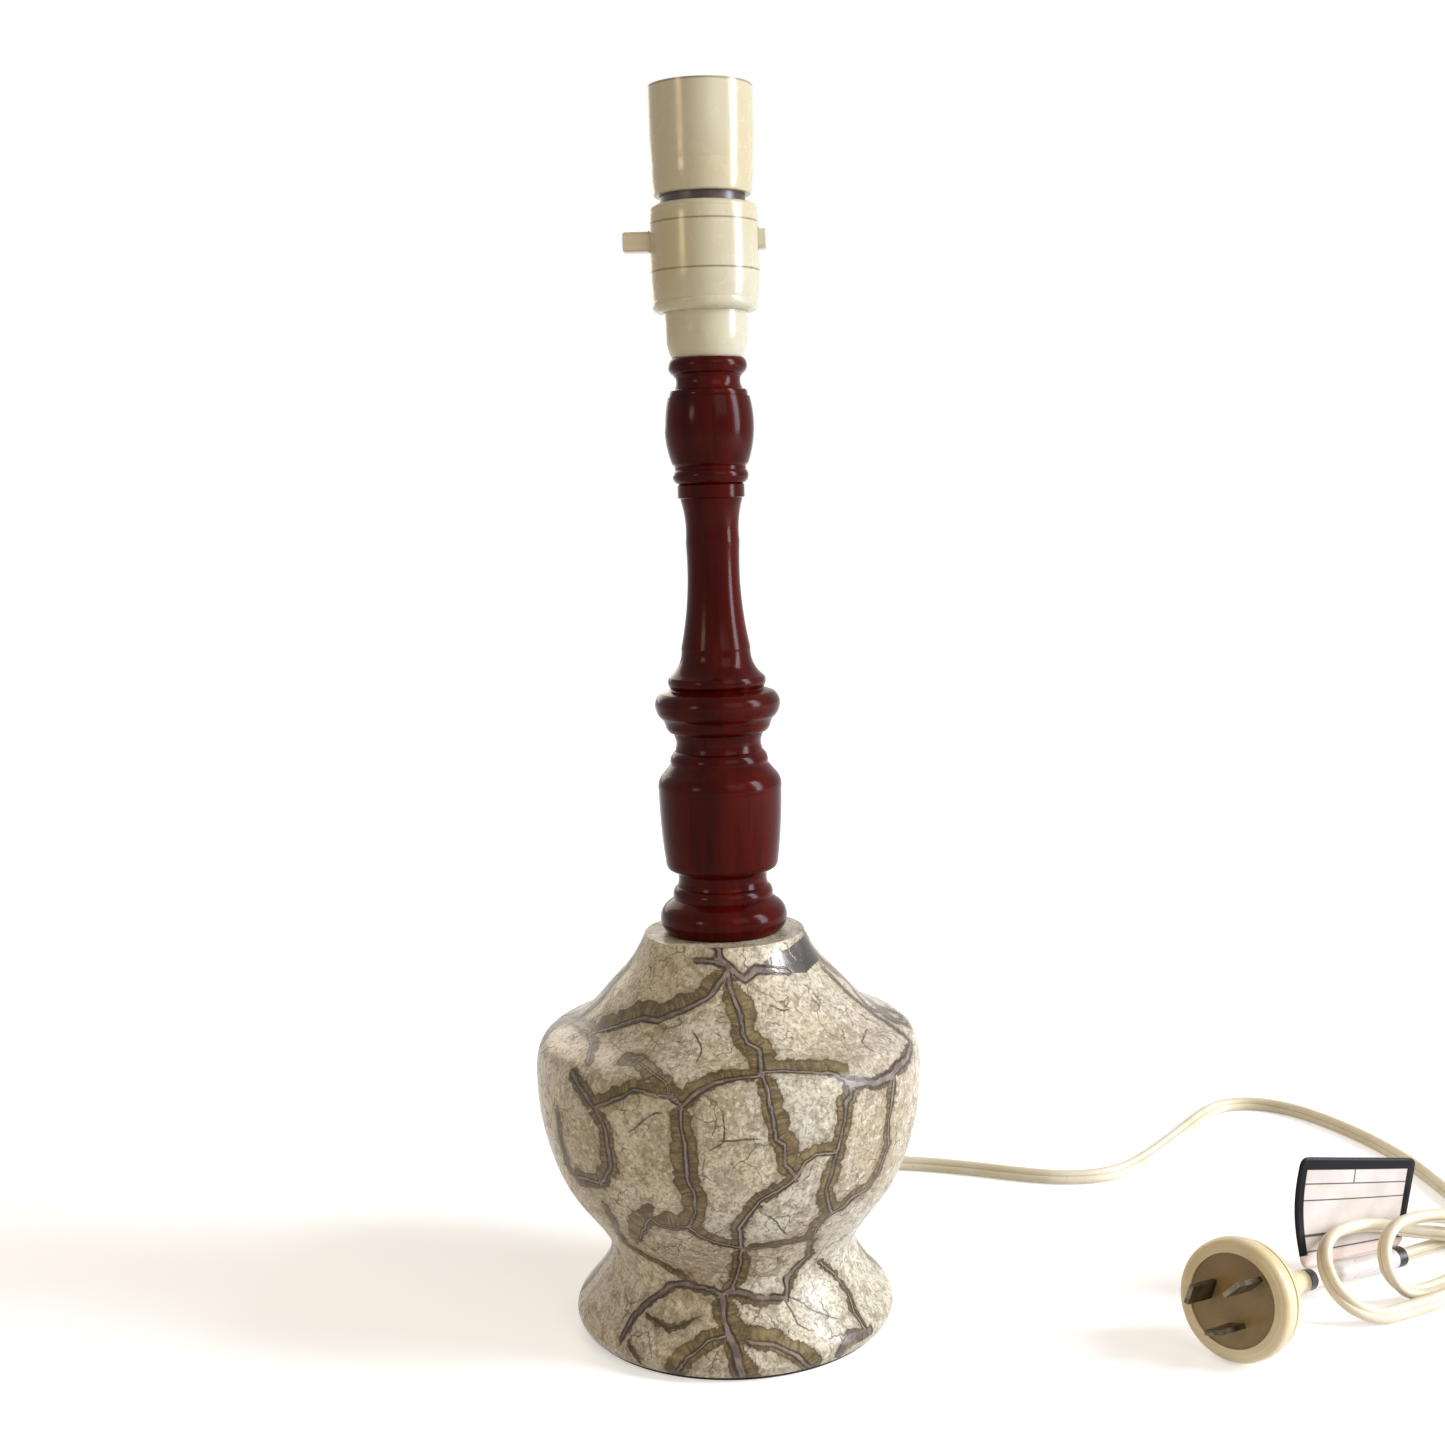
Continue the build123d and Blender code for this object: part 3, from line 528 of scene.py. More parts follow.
def groundTone(f, fine, medium, cracks):
    # cream, grey-beige and pinkish areas, finely mottled, with faint upright strokes and the cracks
    tone = f.mix(f.step(f.noise(26, 2), 0.36, 0.64), *glaze["cells"])
    tone = f.mix(f.step(f.noise(19, 2, source=f.moved(3.1, 0.4, 1.7)), 0.48, 0.62) * 0.75, tone, glaze["greyCells"])
    tone = f.mix(f.step(f.noise(14, 1, source=f.moved(0.7, 2.4, 5.2)), 0.5, 0.66) * 0.55, tone, glaze["warmCells"])
    strokes = f.noise(1, 4, 0.6, source=f.stretch(900, 900, 90))
    tone = f.mix(f.step(strokes, 0.5, 0.7) * 0.5, tone, glaze["strokes"])
    tone = f.mix(f.step(medium, 0.47, 0.62) * 0.6, tone, glaze["mottle"])
    tone = f.mix(f.step(fine, 0.48, 0.62) * 0.55, tone, glaze["specks"])
    pale = f.noise(520, 3, 0.6, source=f.moved(0.3, 0.9, 0.1))
    tone = f.mix(f.step(pale, 0.53, 0.66) * 0.6, tone, glaze["paleSpecks"])
    return f.mix(cracks * 0.75, tone, glaze["crack"])


def crackLines(f):
    # long thin cracks, and a finer net between them, here and there
    shift = f.node("ShaderNodeTexNoise", {"Vector": f.place, "Scale": 210.0, "Detail": 2.0}, output="Color")
    shift = f.node("ShaderNodeVectorMath", {0: shift, 1: glaze["crackBend"]}, operation="MULTIPLY")
    bent = f.node("ShaderNodeVectorMath", {0: f.place, 1: shift}, operation="ADD")
    nets = []
    for scale, thick, gate, low in glaze["crackles"]:
        edge = f.node("ShaderNodeTexVoronoi", {"Vector": bent, "Scale": scale}, feature="DISTANCE_TO_EDGE")
        nets.append((1 - f.step(edge, 0.004, thick)) * f.step(f.noise(gate, 2), low, low + 0.08))
    return nets[0].most(nets[1] * 0.55)


def bandTone(f, fine, medium, along, distance, past):
    # olive brown, with strokes across the band and a dark edge
    stroke = f.noise(1, 3, 0.6, source=f.vector(along * 900, distance * 110, 0.0))
    tone = f.mix(f.step(stroke, 0.42, 0.6), *glaze["band"])
    tone = f.mix(f.step(medium, 0.47, 0.6) * 0.6, tone, glaze["bandMottle"])
    tone = f.mix(f.step(fine, 0.5, 0.66) * 0.4, tone, glaze["bandSpecks"])
    tone = f.mix(f.step(f.noise(110, 2), 0.54, 0.66) * 0.45, tone, glaze["bandClouds"])
    return f.mix(f.step(past, -0.0011, 0.0) * 0.75, tone, glaze["bandEdge"])


def glazeFinish():
    f = Finish("glazed_ceramic", roughness=0.3, coat_weight=0.05, coat_roughness=0.1, specular_ior_level=0.25)
    signed, along, width = f.attribute("vein", "Vector").parts()
    reach = f.attribute("reach")
    far = f.step(reach, 0.0012, 0.0018)
    distance = abs(signed) * (1 - far) + reach * far
    fine = f.noise(900, 3)
    medium = f.noise(240, 4)
    cracks = crackLines(f)
    colour = groundTone(f, fine, medium, cracks)
    # bands beside the veins, and a stain round each
    bandWidth = f.attribute("band")
    coarse, uneven = glaze["ragged"]
    ragged = (f.noise(330, 3, 0.6) - 0.5) * coarse + (f.noise(90, 2) - 0.6) * bandWidth * uneven
    past = distance + ragged - bandWidth
    banded = f.step(bandWidth, 0.0001, 0.0004)
    colour = f.mix((1 - f.step(past, 0.0, 0.0005)) * banded, colour, bandTone(f, fine, medium, along, distance, past))
    colour = f.mix((1 - f.step(past, 0.0, 0.0035)) * banded * 0.35, colour, glaze["bandStain"])
    # slate-grey patch on the shoulder, which shines like metal
    patchMask = f.step(f.attribute("patch") + (fine - 0.5) * 0.0012, -0.0001, 0.0003)
    colour = f.mix(patchMask, colour, f.mix(f.step(f.noise(60, 2), 0.35, 0.65), *glaze["patch"]))
    # vein: mauve-grey core, paler where it is thin, between two soft dark edges
    half = width * (0.28 + f.noise(60, 1) * 0.4)
    inside = distance + (f.noise(620, 2) - 0.5) * 0.0005 - half
    rim = (1 - f.step(inside - width * 0.3, 0.0, 0.0004)) * f.step(f.noise(130, 2), 0.3, 0.5, 0.35, 0.85)
    core = 1 - f.step(inside, -0.0003, 0.0)
    coreTone = f.mix(f.step(medium, 0.4, 0.65), *glaze["core"])
    coreTone = f.mix(f.step(width, 0.0008, 0.0014), glaze["thinCore"], coreTone)
    colour = f.mix(rim, colour, glaze["rim"])
    colour = f.mix(core * f.step(width, 0.0003, 0.0006), colour, coreTone)
    f.feed("Base Color", colour)
    f.feed("Metallic", patchMask * glaze["patchMetal"])
    f.feed("Roughness", f.step(medium, 0.3, 0.7, 0.24, 0.36) + cracks * 0.2 - patchMask * 0.1)
    waves = f.bump(f.noise(38, 2), 0.0016, 0.5)
    f.feed("Normal", f.bump(core * 0.6 + cracks * -0.4 + medium * 0.25, 0.00025, 0.6, under=waves))
    return f.material


body = buildCeramic(glazeFinish())
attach(body, "lamp")
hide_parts("ceramic_body")
print("ceramic built", len(body.data.polygons))

# cord: the route's points as in the solid's source, in metres
cordShape = {
    "width": 0.0058,
    "lobe": 0.0018,
    "exit": (0, 0.0572, 0.009),
    "length": 1.5,
    "onTable": 0.0029,
    "around": 24,
    "gap": 0.0014,
    "lean": 62,
    "roll": (22, 17, 0.5),
    "ripple": (8, 41),
    "levelling": 0.3,
    "sheath": ("e6dbc4", "d9cbab"),
    "stain": "a98f66",
    # colour of the shade painted into the dip between the two lobes
    "groove": "8f7c5c",
}
flatRun = cordShape["onTable"]
freeRoute = [
    (0, 0.0572, 0.009), (0, 0.072, 0.009), (0, 0.098, flatRun), (0.020, 0.1215, flatRun),
    (0.048, 0.1328, flatRun), (0.074, 0.1313, flatRun), (0.098, 0.1236, flatRun), (0.122, 0.113, flatRun),
    (0.140, 0.1083, flatRun), (0.158, 0.1113, flatRun), (0.174, 0.126, flatRun), (0.198, 0.1585, flatRun),
    (0.213, 0.1805, flatRun), (0.2245, 0.192, flatRun), (0.240, 0.1935, flatRun), (0.254, 0.1835, flatRun),
    (0.2645, 0.1665, flatRun), (0.274, 0.144, flatRun), (0.281, 0.118, flatRun), (0.2838, 0.093, flatRun),
    (0.285, 0.068, flatRun),
]
hank = {
    "centre": Vector((0.292, 0.030, 0)),
    "azimuth": math.radians(30),
    "turn": 0.0817,
    "inner": 0.022,
    "outer": 0.030,
}
hankStations = [
    ((-0.004, 0.015, 0.0106), (-0.62, -0.74, 0.25)),
    ((-0.023, 0.0035, 0.0165), (-0.90, -0.22, 0.34)),
    ((-0.043, 0.0014, 0.0228), (-0.95, 0, 0.28)),
    ((-0.0635, 0.0014, 0.0258), (-1, 0, 0)),
    ((-0.077, -0.0024, 0.0145), (0, -0.33, -0.94)),
    ((-0.0645, -0.0075, flatRun), (1, 0, 0)),
    ((0, -0.0033, flatRun), (1, 0, 0)),
    ((hank["turn"], -hank["inner"], flatRun), (1, 0, 0)),
    ((hank["turn"] + hank["inner"], 0, flatRun), (0, 1, 0)),
    ((hank["turn"], hank["inner"], flatRun), (-1, 0, 0)),
    ((0, 0.008, flatRun), (-1, 0, 0)),
    ((-0.028, 0.0086, 0.0095), (-0.93, 0.02, 0.36)),
    ((-0.056, 0.0106, 0.0182), (-0.93, 0, 0.36)),
    ((-0.088, 0.0082, 0.0256), (-1, 0, 0)),
    ((-0.103, -0.0012, 0.0145), (0, -0.64, -0.77)),
    ((-0.087, -0.0132, flatRun), (1, -0.10, 0)),
    ((-0.062, -0.0145, flatRun), (1, 0.03, 0)),
    ((-0.008, -0.0112, flatRun), (1, 0.02, 0)),
    ((hank["turn"], -hank["outer"], flatRun), (1, 0, 0)),
    ((hank["turn"] + hank["outer"], 0, flatRun), (0, 1, 0)),
    ((hank["turn"], hank["outer"], flatRun), (-1, 0, 0)),
    ((-0.008, 0.015, flatRun), (-1, 0, 0)),
]
tailPlaces = [(-0.026, 0.0149, 0.0042), (-0.044, 0.0142, 0.0048), (-0.062, 0.0134, 0.0056), (-0.080, 0.0136, 0.007)]
plug = {
    "rimCentre": (0.1633, -0.0484),
    "lift": 0.00093,
    "azimuth": math.radians(225),
    "tilt": math.radians(11),
    "radius": 0.01995,
    "neckEnd": 0.0455,
    "lead": 0.0115,
}


def pointing(azimuth, tilt=0.0):
    level = math.cos(tilt)
    return Vector((level * math.cos(azimuth), level * math.sin(azimuth), math.sin(tilt)))


hankAlong = pointing(hank["azimuth"])
hankAcross = Vector((-hankAlong.y, hankAlong.x, 0))
pinsWay = pointing(plug["azimuth"], plug["tilt"])
plugCentre = Vector((*plug["rimCentre"], plug["radius"] * math.cos(plug["tilt"]) + plug["lift"]))
neckEnd = plugCentre - pinsWay * plug["neckEnd"]


def inHank(place):
    return hank["centre"] + hankAlong * place[0] + hankAcross * place[1] + Vector((0, 0, place[2]))


def hankWay(way):
    return (hankAlong * way[0] + hankAcross * way[1] + Vector((0, 0, way[2]))).normalized()


def legLength(start, startWay, end, endWay):
    # how far the cord runs straight on from one station and into the next
    span = end - start
    square = 2 * (startWay.dot(endWay) - 1)
    line = -2 * span.dot(startWay + endWay)
    fixed = span.dot(span)
    if abs(square) < 1e-6:
        return -fixed / line
    root = math.sqrt(line * line - 4 * square * fixed)
    return min(leg for leg in ((-line - root) / (2 * square), (-line + root) / (2 * square)) if leg > 0)


def cordRoute():
    free = [Vector(p) for p in freeRoute]
    tail = [inHank(p) for p in tailPlaces] + [neckEnd - pinsWay * plug["lead"], neckEnd]
    places = [free[-1]] + [inHank(place) for place, _ in hankStations] + [tail[0]]
    ways = [hankWay(way) for _, way in hankStations]
    ways = [(free[-1] - free[-2]).normalized()] + ways + [(tail[1] - tail[0]).normalized()]
    turns = []
    for start, startWay, end, endWay in zip(places, ways, places[1:], ways[1:]):
        leg = legLength(start, startWay, end, endWay)
        turns += [start + startWay * leg, end - endWay * leg]
    return free[:-1] + turns + tail[1:]


def followRoute(route):
    # points along one NURBS spline through the route
    curve = bpy.data.curves.new("cord_line", "CURVE")
    curve.dimensions = "3D"
    spline = curve.splines.new("NURBS")
    spline.points.add(len(route) - 1)
    for point, place in zip(spline.points, route):
        point.co = (*place, 1)
    spline.order_u = 3
    spline.use_endpoint_u = True
    spline.resolution_u = 12
    holder = bpy.data.objects.new("cord_line", curve)
    bpy.context.scene.collection.objects.link(holder)
    line = bpy.data.meshes.new_from_object(evaluated(holder))
    points = [v.co.copy() for v in line.vertices]
    bpy.data.objects.remove(holder)
    bpy.data.meshes.remove(line)
    return points


def flatWays(points, leanAt):
    # which way the cord's wide side points at each place: level, then leant, and carried on without a flip
    settle = cordShape["levelling"]
    ways, wide, distance = [], Vector((1, 0, 0)), 0.0
    for i, point in enumerate(points):
        ahead = (points[min(i + 1, len(points) - 1)] - points[max(i - 1, 0)]).normalized()
        wide = (wide - ahead * wide.dot(ahead)).normalized()
        level = Vector((0, 0, 1)).cross(ahead)
        if level.dot(wide) < 0:
            level = -level
        if level.length > settle:
            wide = wide.lerp(level, settle * level.length).normalized()
        ways.append(wide * math.cos(leanAt(distance)) + ahead.cross(wide) * math.sin(leanAt(distance)))
        if i + 1 < len(points):
            distance += (points[i + 1] - point).length
    return ways, distance


def twinTube(name, points, ways, material):
    # two lobes side by side, swept along the points; a named attribute marks the dip between them, where the finish
    # paints shade
    g = Growth("twin_tube", Around="Int", Apart="Float", Lobe="Float")
    path = g.node("GeometryNodeMeshToCurve", {"Mesh": g.given["Geometry"]})
    way = g.node("GeometryNodeInputNamedAttribute", {"Name": "way"}, data_type="FLOAT_VECTOR")
    path = g.node("GeometryNodeSetCurveNormal", {"Curve": path, "Normal": way}, mode="FREE")
    ring = g.node("GeometryNodeCurvePrimitiveCircle", {"Resolution": g.given["Around"], "Radius": 1.0})
    x, y, _ = g.node("GeometryNodeInputPosition").parts()
    apart, lobe = g.given["Apart"], g.given["Lobe"]
    reach = apart * abs(x) + (lobe * lobe - apart * apart * y * y).root()
    ring = g.node("GeometryNodeStoreNamedAttribute", {"Geometry": ring, "Name": "groove", "Value": 1 - abs(x)})
    ring = g.node("GeometryNodeSetPosition", {"Geometry": ring, "Position": g.vector(x * reach, y * reach, 0.0)})
    tube = g.node("GeometryNodeCurveToMesh", {"Curve": path, "Profile Curve": ring, "Fill Caps": True})
    tube = g.node("GeometryNodeSetShadeSmooth", {"Geometry": tube, "Shade Smooth": True})
    line = meshPiece(name, points, [], edges=[(i, i + 1) for i in range(len(points) - 1)], smooth=False)
    line.data.attributes.new("way", "FLOAT_VECTOR", "POINT").data.foreach_set("vector", [v for w in ways for v in w])
    return g.run(line, tube, Around=cordShape["around"], Apart=cordShape["width"] / 2 - cordShape["lobe"],
                 Lobe=cordShape["lobe"], Material=material)


def thinOut(points, gap):
    kept = [points[0]]
    for point in points[1:-1]:
        if (point - kept[-1]).length > gap:
            kept.append(point)
    return kept + [points[-1]]


def cordLean(distance):
    # the flat cord stands nearly on edge, and rolls a little as it goes
    roll, rollPace, rollStart = cordShape["roll"]
    ripple, ripplePace = cordShape["ripple"]
    lean = cordShape["lean"] + roll * math.sin(distance * rollPace + rollStart)
    return math.radians(lean + ripple * math.sin(distance * ripplePace))


def sheathFinish(name):
    f = Finish(name, roughness=0.42, specular_ior_level=0.4)
    tone = f.mix(f.step(f.noise(45, 3), 0.35, 0.68), *cordShape["sheath"])
    tone = f.mix(f.step(f.noise(600, 2), 0.62, 0.75) * 0.25, tone, cordShape["stain"])
    # painted shade in the dip between the two lobes
    tone = f.mix(f.step(f.attribute("groove"), 0.72, 1.0) * 0.4, tone, cordShape["groove"])
    f.feed("Base Color", tone)
    f.feed("Roughness", f.step(f.noise(160, 2), 0.3, 0.7, 0.36, 0.5))
    f.feed("Normal", f.bump(f.noise(260, 3), 0.0002, 0.35))
    return f.material


cordPoints = thinOut(followRoute(cordRoute()), cordShape["gap"])
cordWays, cordLength = flatWays(cordPoints, cordLean)
cordTube = twinTube("flat_cord", cordPoints, cordWays, sheathFinish("cord_sheath"))
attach(cordTube, "lamp")
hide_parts("cord_free", "cord_hank", "cord_tail")
print("cord built", round(cordLength, 4))

# tag on the tail of the cord
tag = {
    "start": 0.0015,
    "length": 0.057,
    "height": 0.0385,
    "lift": 0.004,
    "lean": math.radians(6),
    "bow": 0.003,
    "sink": 0.006,
    "swing": 0.0066,
    "thickness": 0.0005,
    "corner": 0.003,
    "columns": 30,
    "rows": 28,
    "paper": ("cdc3bb", "d8cec6"),
    "ink": "1c1a1c",
    "ruled": ((0.745, 0.004), (0.59, 0.004), (0.27, 0.010), (0.13, 0.005)),
    "slope": 0.012,
    "border": "17151a",
    "sideBorder": (0.0036, 0.0039),
    "topBorder": (0.0044, 0.0047),
    "foot": "e3cfc4",
}


def alongTail(distance):
    # a point on the cord, measured back from the plug's neck
    left = distance
    for b, a in zip(cordPoints[::-1], cordPoints[-2::-1]):
        run = (a - b).length
        if run >= left:
            return b.lerp(a, left / run)
        left -= run


def cardPoint(u, v):
    # a point of the flat card from its middle, its corners drawn in to rounds
    x, y = (u - 0.5) * tag["length"], (v - 0.5) * tag["height"]
    insetX, insetY = tag["length"] / 2 - tag["corner"], tag["height"] / 2 - tag["corner"]
    if abs(x) > insetX and abs(y) > insetY:
        cx, cy = math.copysign(insetX, x), math.copysign(insetY, y)
        reach = max(abs(x - cx), abs(y - cy))
        span = math.hypot(x - cx, y - cy)
        x, y = cx + (x - cx) * reach / span, cy + (y - cy) * reach / span
    return x, y


def buildTag():
    near, far = alongTail(tag["start"]), alongTail(tag["start"] + tag["length"])
    way = (far - near).normalized()
    front = way.cross(Vector((0, 0, 1))).normalized()
    normal = front * math.cos(tag["lean"]) - way.cross(front) * math.sin(tag["lean"])
    up = normal.cross(way).normalized()
    if up.z < 0:
        up, normal = -up, -normal
    columns, rows = tag["columns"], tag["rows"]
    points, places = [], []
    for j in range(rows + 1):
        v = j / rows
        for i in range(columns + 1):
            u = i / columns
            x, y = cardPoint(u, v)
            curl = tag["swing"] * u * v - tag["bow"] * (1 - u) ** 2 * math.sin(math.pi * v)
            height = y + tag["height"] / 2 + tag["lift"] - tag["sink"] * u * v
            points.append(near + way * (x + tag["length"] / 2) + up * height + normal * curl)
            places.append(((x / tag["length"]) + 0.5, (y / tag["height"]) + 0.5))
    width = columns + 1
    starts = [j * width + i for j in range(rows) for i in range(columns)]
    piece = meshPiece("tag_card", points, [(k, k + 1, k + width + 1, k + width) for k in starts])
    layer = piece.data.uv_layers.new(name="card")
    for loop in piece.data.loops:
        layer.data[loop.index].uv = places[loop.vertex_index]
    solid = piece.modifiers.new("thickness", "SOLIDIFY")
    solid.thickness = tag["thickness"]
    solid.offset = 0
    mesh = bpy.data.meshes.new_from_object(evaluated(piece))
    piece.modifiers.clear()
    piece.data = mesh
    return piece


def cardFinish():
    f = Finish("tag_card", roughness=0.36, specular_ior_level=0.12)
    u, v, _ = f.node("ShaderNodeUVMap", uv_map="card").parts()
    paper = f.mix(f.step(f.noise(90, 2), 0.35, 0.65), *tag["paper"])
    # ruled lines, the upright between the top two fields, and one small box
    marks = (1 - f.step(abs(u - 0.47), 0.003, 0.008)) * f.step(v, 0.74, 0.745)
    for height, thick in tag["ruled"]:
        marks = marks.most(1 - f.step(abs(v - height + (u - 0.5) * tag["slope"]), thick, thick + 0.005))
    box = (1 - f.step(abs(u - 0.235), 0.03, 0.035)) * (1 - f.step(abs(v - 0.188), 0.035, 0.04))
    tone = f.mix(marks.most(box * 0.9) * 0.85, paper, tag["ink"])
    # a dark border on three sides, and the clear film's foot below
    edge = (0.5 - abs(u - 0.5)) * tag["length"]
    rim = (1 - f.step(edge, *tag["sideBorder"])) * f.step(v, 0.10, 0.11)
    rim = rim.most(1 - f.step((1 - v) * tag["height"], *tag["topBorder"]))
    tone = f.mix(rim, tone, tag["border"])
    tone = f.mix(1 - f.step(v, 0.10, 0.112), tone, tag["foot"])
    f.feed("Base Color", tone)
    f.feed("Normal", f.bump(f.noise(120, 2), 0.0004, 0.3))
    return f.material


tagCard = buildTag()
tagCard.data.materials.append(cardFinish())
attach(tagCard, "lamp")
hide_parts("tag_panel")
print("tag built")


# finishes for the pieces that stay as they are in the frame
wood = {
    "tones": ("360401", "460902"),
    "pores": "1f0301",
    "poreStretch": (520, 520, 14),
    "figureStretch": (120, 120, 10),
}
ivory = {
    "specks": "a89770",
    "seam": "6f6446",
    "seams": (0.3598, 0.3753),
    "seamEdge": (0.00012, 0.00048),
    "lip": "6a5238",
    "lipEdge": (0.4181, 0.4186),
}


def woodFinish():
    f = Finish("polished_mahogany", roughness=0.13, specular_ior_level=0.07)
    pores = f.noise(1, 5, 0.6, source=f.stretch(*wood["poreStretch"]))
    figure = f.noise(1, 3, 0.5, source=f.stretch(*wood["figureStretch"]))
    tone = f.mix(f.step(figure, 0.35, 0.66), *wood["tones"])
    tone = f.mix(f.step(pores, 0.46, 0.74) * 0.5, tone, wood["pores"])
    f.feed("Base Color", tone)
    f.feed("Roughness", f.step(pores, 0.3, 0.7, 0.12, 0.2))
    f.feed("Normal", f.bump(f.noise(55, 2), 0.0004, 0.25))
    return f.material


def ivoryFinish(name, base, aged, seams=()):
    # yellowed plastic; the holder's copy also has its seams and a darker line round its top edge
    f = Finish(name, roughness=0.28, coat_weight=0.1, coat_roughness=0.12, specular_ior_level=0.32)
    tone = f.mix(f.step(f.noise(22, 2), 0.34, 0.68), base, aged)
    tone = f.mix(f.step(f.noise(420, 3), 0.6, 0.76) * 0.05, tone, ivory["specks"])
    height = f.place.parts()[2]
    for seam in seams:
        tone = f.mix((1 - f.step(abs(height - seam), *ivory["seamEdge"])) * 0.8, tone, ivory["seam"])
    if seams:
        tone = f.mix(f.step(height, *ivory["lipEdge"]) * 0.6, tone, ivory["lip"])
    f.feed("Base Color", tone)
    f.feed("Roughness", f.step(f.noise(190, 3), 0.3, 0.7, 0.18, 0.3))
    f.feed("Normal", f.bump(f.noise(110, 2), 0.0003, 0.2))
    return f.material


def plainFinish(name, first, second, scale, roughness, metallic=0.0, grainBump=0.0001):
    f = Finish(name, metallic=metallic, roughness=roughness)
    f.feed("Base Color", f.mix(f.step(f.noise(scale, 3), 0.36, 0.66), first, second))
    f.feed("Roughness", f.step(f.noise(scale * 2, 2), 0.3, 0.7, roughness * 0.85, roughness * 1.2))
    f.feed("Normal", f.bump(f.noise(scale * 3, 2), grainBump, 0.4))
    return f.material


# plunger springs: each is a wire wound up from the bore's floor to the plunger's shoulder
coil = {
    "spread": 0.005,
    "low": 0.37695,
    "high": 0.38367,
    "radius": 0.00205,
    "wire": 0.00034,
    "turns": 4.0,
    "steps": 28,
    "around": 8,
    "keep": 0.479,
}


def woundSpring(name, side, material):
    g = Growth("wound_wire", Turns="Float", Steps="Int", Around="Int", Radius="Float", Wire="Float", Climb="Float")
    line = g.node("GeometryNodeCurveSpiral", {"Resolution": g.given["Steps"], "Rotations": g.given["Turns"],
                                              "Start Radius": g.given["Radius"], "End Radius": g.given["Radius"],
                                              "Height": g.given["Climb"]})
    ring = g.node("GeometryNodeCurvePrimitiveCircle", {"Resolution": g.given["Around"], "Radius": g.given["Wire"]})
    wire = g.node("GeometryNodeCurveToMesh", {"Curve": line, "Profile Curve": ring, "Fill Caps": True})
    wire = g.node("GeometryNodeSetShadeSmooth", {"Geometry": wire, "Shade Smooth": True})
    wire = g.node("GeometryNodeInstanceOnPoints", {"Points": g.given["Geometry"], "Instance": wire})
    foot = meshPiece(name, [(side * coil["spread"], 0, coil["low"] + coil["wire"])], [], smooth=False)
    return g.run(foot, wire, Turns=coil["turns"], Steps=coil["steps"], Around=coil["around"], Radius=coil["radius"],
                 Wire=coil["wire"], Climb=coil["high"] - coil["low"] - 2 * coil["wire"], Material=material)


springSteel = plainFinish("spring_steel", "8f8f8d", "6f6f6d", 220, 0.33, 1.0)
for name, side in (("left", -1), ("right", 1)):
    spring = woundSpring("coil_" + name, side, springSteel)
    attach(spring, "lamp")
    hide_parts("spring_" + name)
    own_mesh(spring)
print("springs built")


def dress(material, *names):
    for name in names:
        mesh = nodes[name].data
        mesh.materials.clear()
        mesh.materials.append(material)


def pairs(*names):
    return [name + end for name in names for end in ("_left", "_right")]


dress(woodFinish(), "wood_column")
dress(ivoryFinish("ivory_holder", "bab39c", "b6aa88", ivory["seams"]), "holder_cap", "holder_lower_body",
      "switch_housing", "holder_collar", "shade_ring")
dress(ivoryFinish("ivory_bar", "d8ccb6", "ccbda2"), "switch_bar")
dress(ivoryFinish("plug_cream", "dfd0af", "cfbb91"), "plug_ring", "plug_body", "plug_neck")
dress(ivoryFinish("plug_face", "8a7145", "755d36"), "plug_face")
dress(plainFinish("barrel_brown", "2c1a12", "3a251a", 120, 0.35), "bayonet_barrel", "contact_core", "terminal_block")
dress(plainFinish("pin_metal", "7a7264", "3f382e", 160, 0.34, 1.0), "plug_pin_active", "plug_pin_neutral",
      "plug_pin_earth")
dress(plainFinish("brass", "b08d4a", "8a6a35", 200, 0.3, 1.0), "switch_bridge", "detent_leaf",
      *pairs("terminal", "terminal_screw", "contact_strip", "fixed_contact", "plunger"))
dress(plainFinish("copper", "b06a3c", "8f5230", 300, 0.32, 1.0), *pairs("conductor"))
dress(plainFinish("steel", "8f8f8d", "6f6f6d", 220, 0.33, 1.0), "lamp_tube", "tube_washer", "tube_nut",
      "cap_lock_nut", "grub_screw")
dress(plainFinish("bush_black", "1e1c1a", "2b2825", 200, 0.5), "cord_bush", "cord_clamp")
dress(plainFinish("felt_brown", "2e2119", "3c2d22", 900, 0.95, grainBump=0.0006), "base_pad")
dress(sheathFinish("inner_lead"), "inner_lead")
dress(plainFinish("tag_film", "d6ccc5", "dfd6cf", 120, 0.3), "tag_sleeve")
dress(plainFinish("tag_black", "151317", "201d22", 150, 0.4), "tag_band_near", "tag_band_far")
print("finishes set")

# lamps as (place, size, power, tone), all turned to the aim
stage = {
    "aim": (0.03, 0, 0.17),
    "lamps": {
        "key": ((1.995, -0.456, 0.915), (0.53, 1.71), 75.0, "ecf3ff"),
        "front": ((0.75, -1.15, 0.95), (0.8, 0.8), 4.5, "fff9ef"),
        "fill": ((-0.9, -0.9, 0.6), (0.25, 0.25), 2.6, "ffe4ba"),
        "back": ((-0.5, 1.25, 0.8), (1.0, 1.0), 8.0, "fff1dc"),
    },
    "world": 0.27,
    "worldTone": "f6e8d2",
    "floorHalf": 6.0,
    "floorGrey": (0.82, 0.82, 0.82, 1),
    "glowReach": (0.4, 1.5),
    "glow": (0.46, 0.95),
}


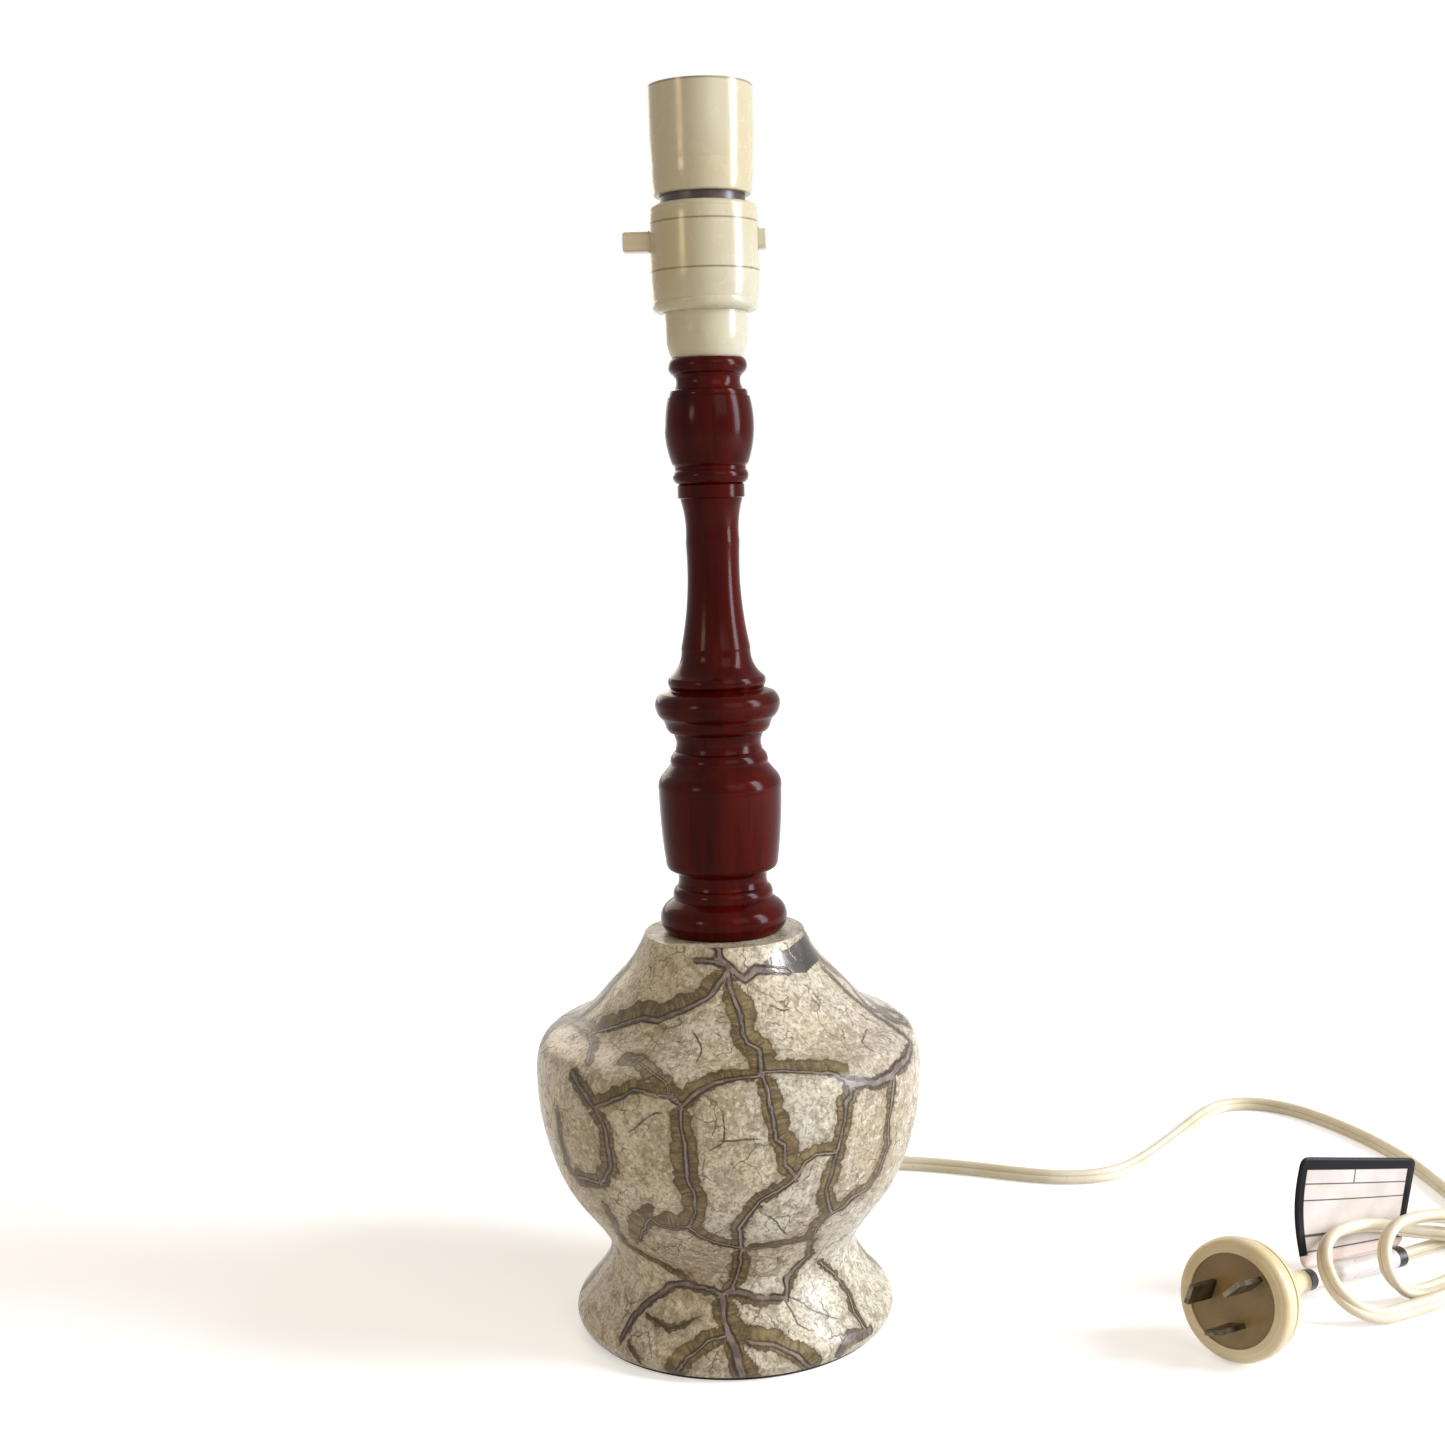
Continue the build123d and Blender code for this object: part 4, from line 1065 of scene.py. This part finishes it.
def addLamp(name, place, size, power, tone):
    data = bpy.data.lights.new(name, "AREA")
    data.energy = power
    data.color = linear(tone)[:3]
    data.shape = "RECTANGLE"
    data.size, data.size_y = size
    lamp = bpy.data.objects.new(name, data)
    way = Vector(stage["aim"]) - Vector(place)
    lamp.matrix_world = Matrix.Translation(place) @ way.to_track_quat("-Z", "Y").to_matrix().to_4x4()
    bpy.context.scene.collection.objects.link(lamp)


def addFloor():
    # it keeps the shadow and glows a little where the camera or a reflection sees it, most of all far away
    half = stage["floorHalf"]
    corners = [(x * half, y * half, 0) for x, y in ((-1, -1), (1, -1), (1, 1), (-1, 1))]
    floor = meshPiece("floor", corners, [(0, 1, 2, 3)], smooth=False)
    f = Finish("pale_floor", roughness=0.9, specular_ior_level=0.0, base_color=stage["floorGrey"],
               emission_strength=1.0)
    seen = f.node("ShaderNodeLightPath", output="Is Camera Ray")
    seen = seen.most(f.node("ShaderNodeLightPath", output="Is Glossy Ray"))
    away = f.node("ShaderNodeVectorMath", {0: f.place}, output=1, operation="LENGTH")
    f.feed("Emission Color", f.mix(seen * f.step(away, *stage["glowReach"], *stage["glow"]), "000000", "ffffff"))
    floor.data.materials.append(f.material)


def addWorld():
    # white to the camera, to reflections and through glass, and a soft fill for everything else
    world = bpy.data.worlds.new("studio")
    world.use_nodes = True
    g = Tree(world.node_tree)
    seen = g.node("ShaderNodeLightPath", output="Is Camera Ray")
    for ray in ("Is Glossy Ray", "Is Transmission Ray"):
        seen = seen.most(g.node("ShaderNodeLightPath", output=ray))
    back = world.node_tree.nodes["Background"]
    tone = [part * stage["world"] for part in linear(stage["worldTone"])[:3]] + [1]
    tone = g.node("ShaderNodeMix", {0: seen, 6: tone, 7: (1, 1, 1, 1)}, output=2, data_type="RGBA")
    world.node_tree.links.new(tone.socket, back.inputs["Color"])
    bpy.context.scene.world = world


for name, lamp in stage["lamps"].items():
    addLamp(name, *lamp)
addFloor()
addWorld()
bpy.context.scene.view_settings.view_transform = "Standard"
print("stage set")
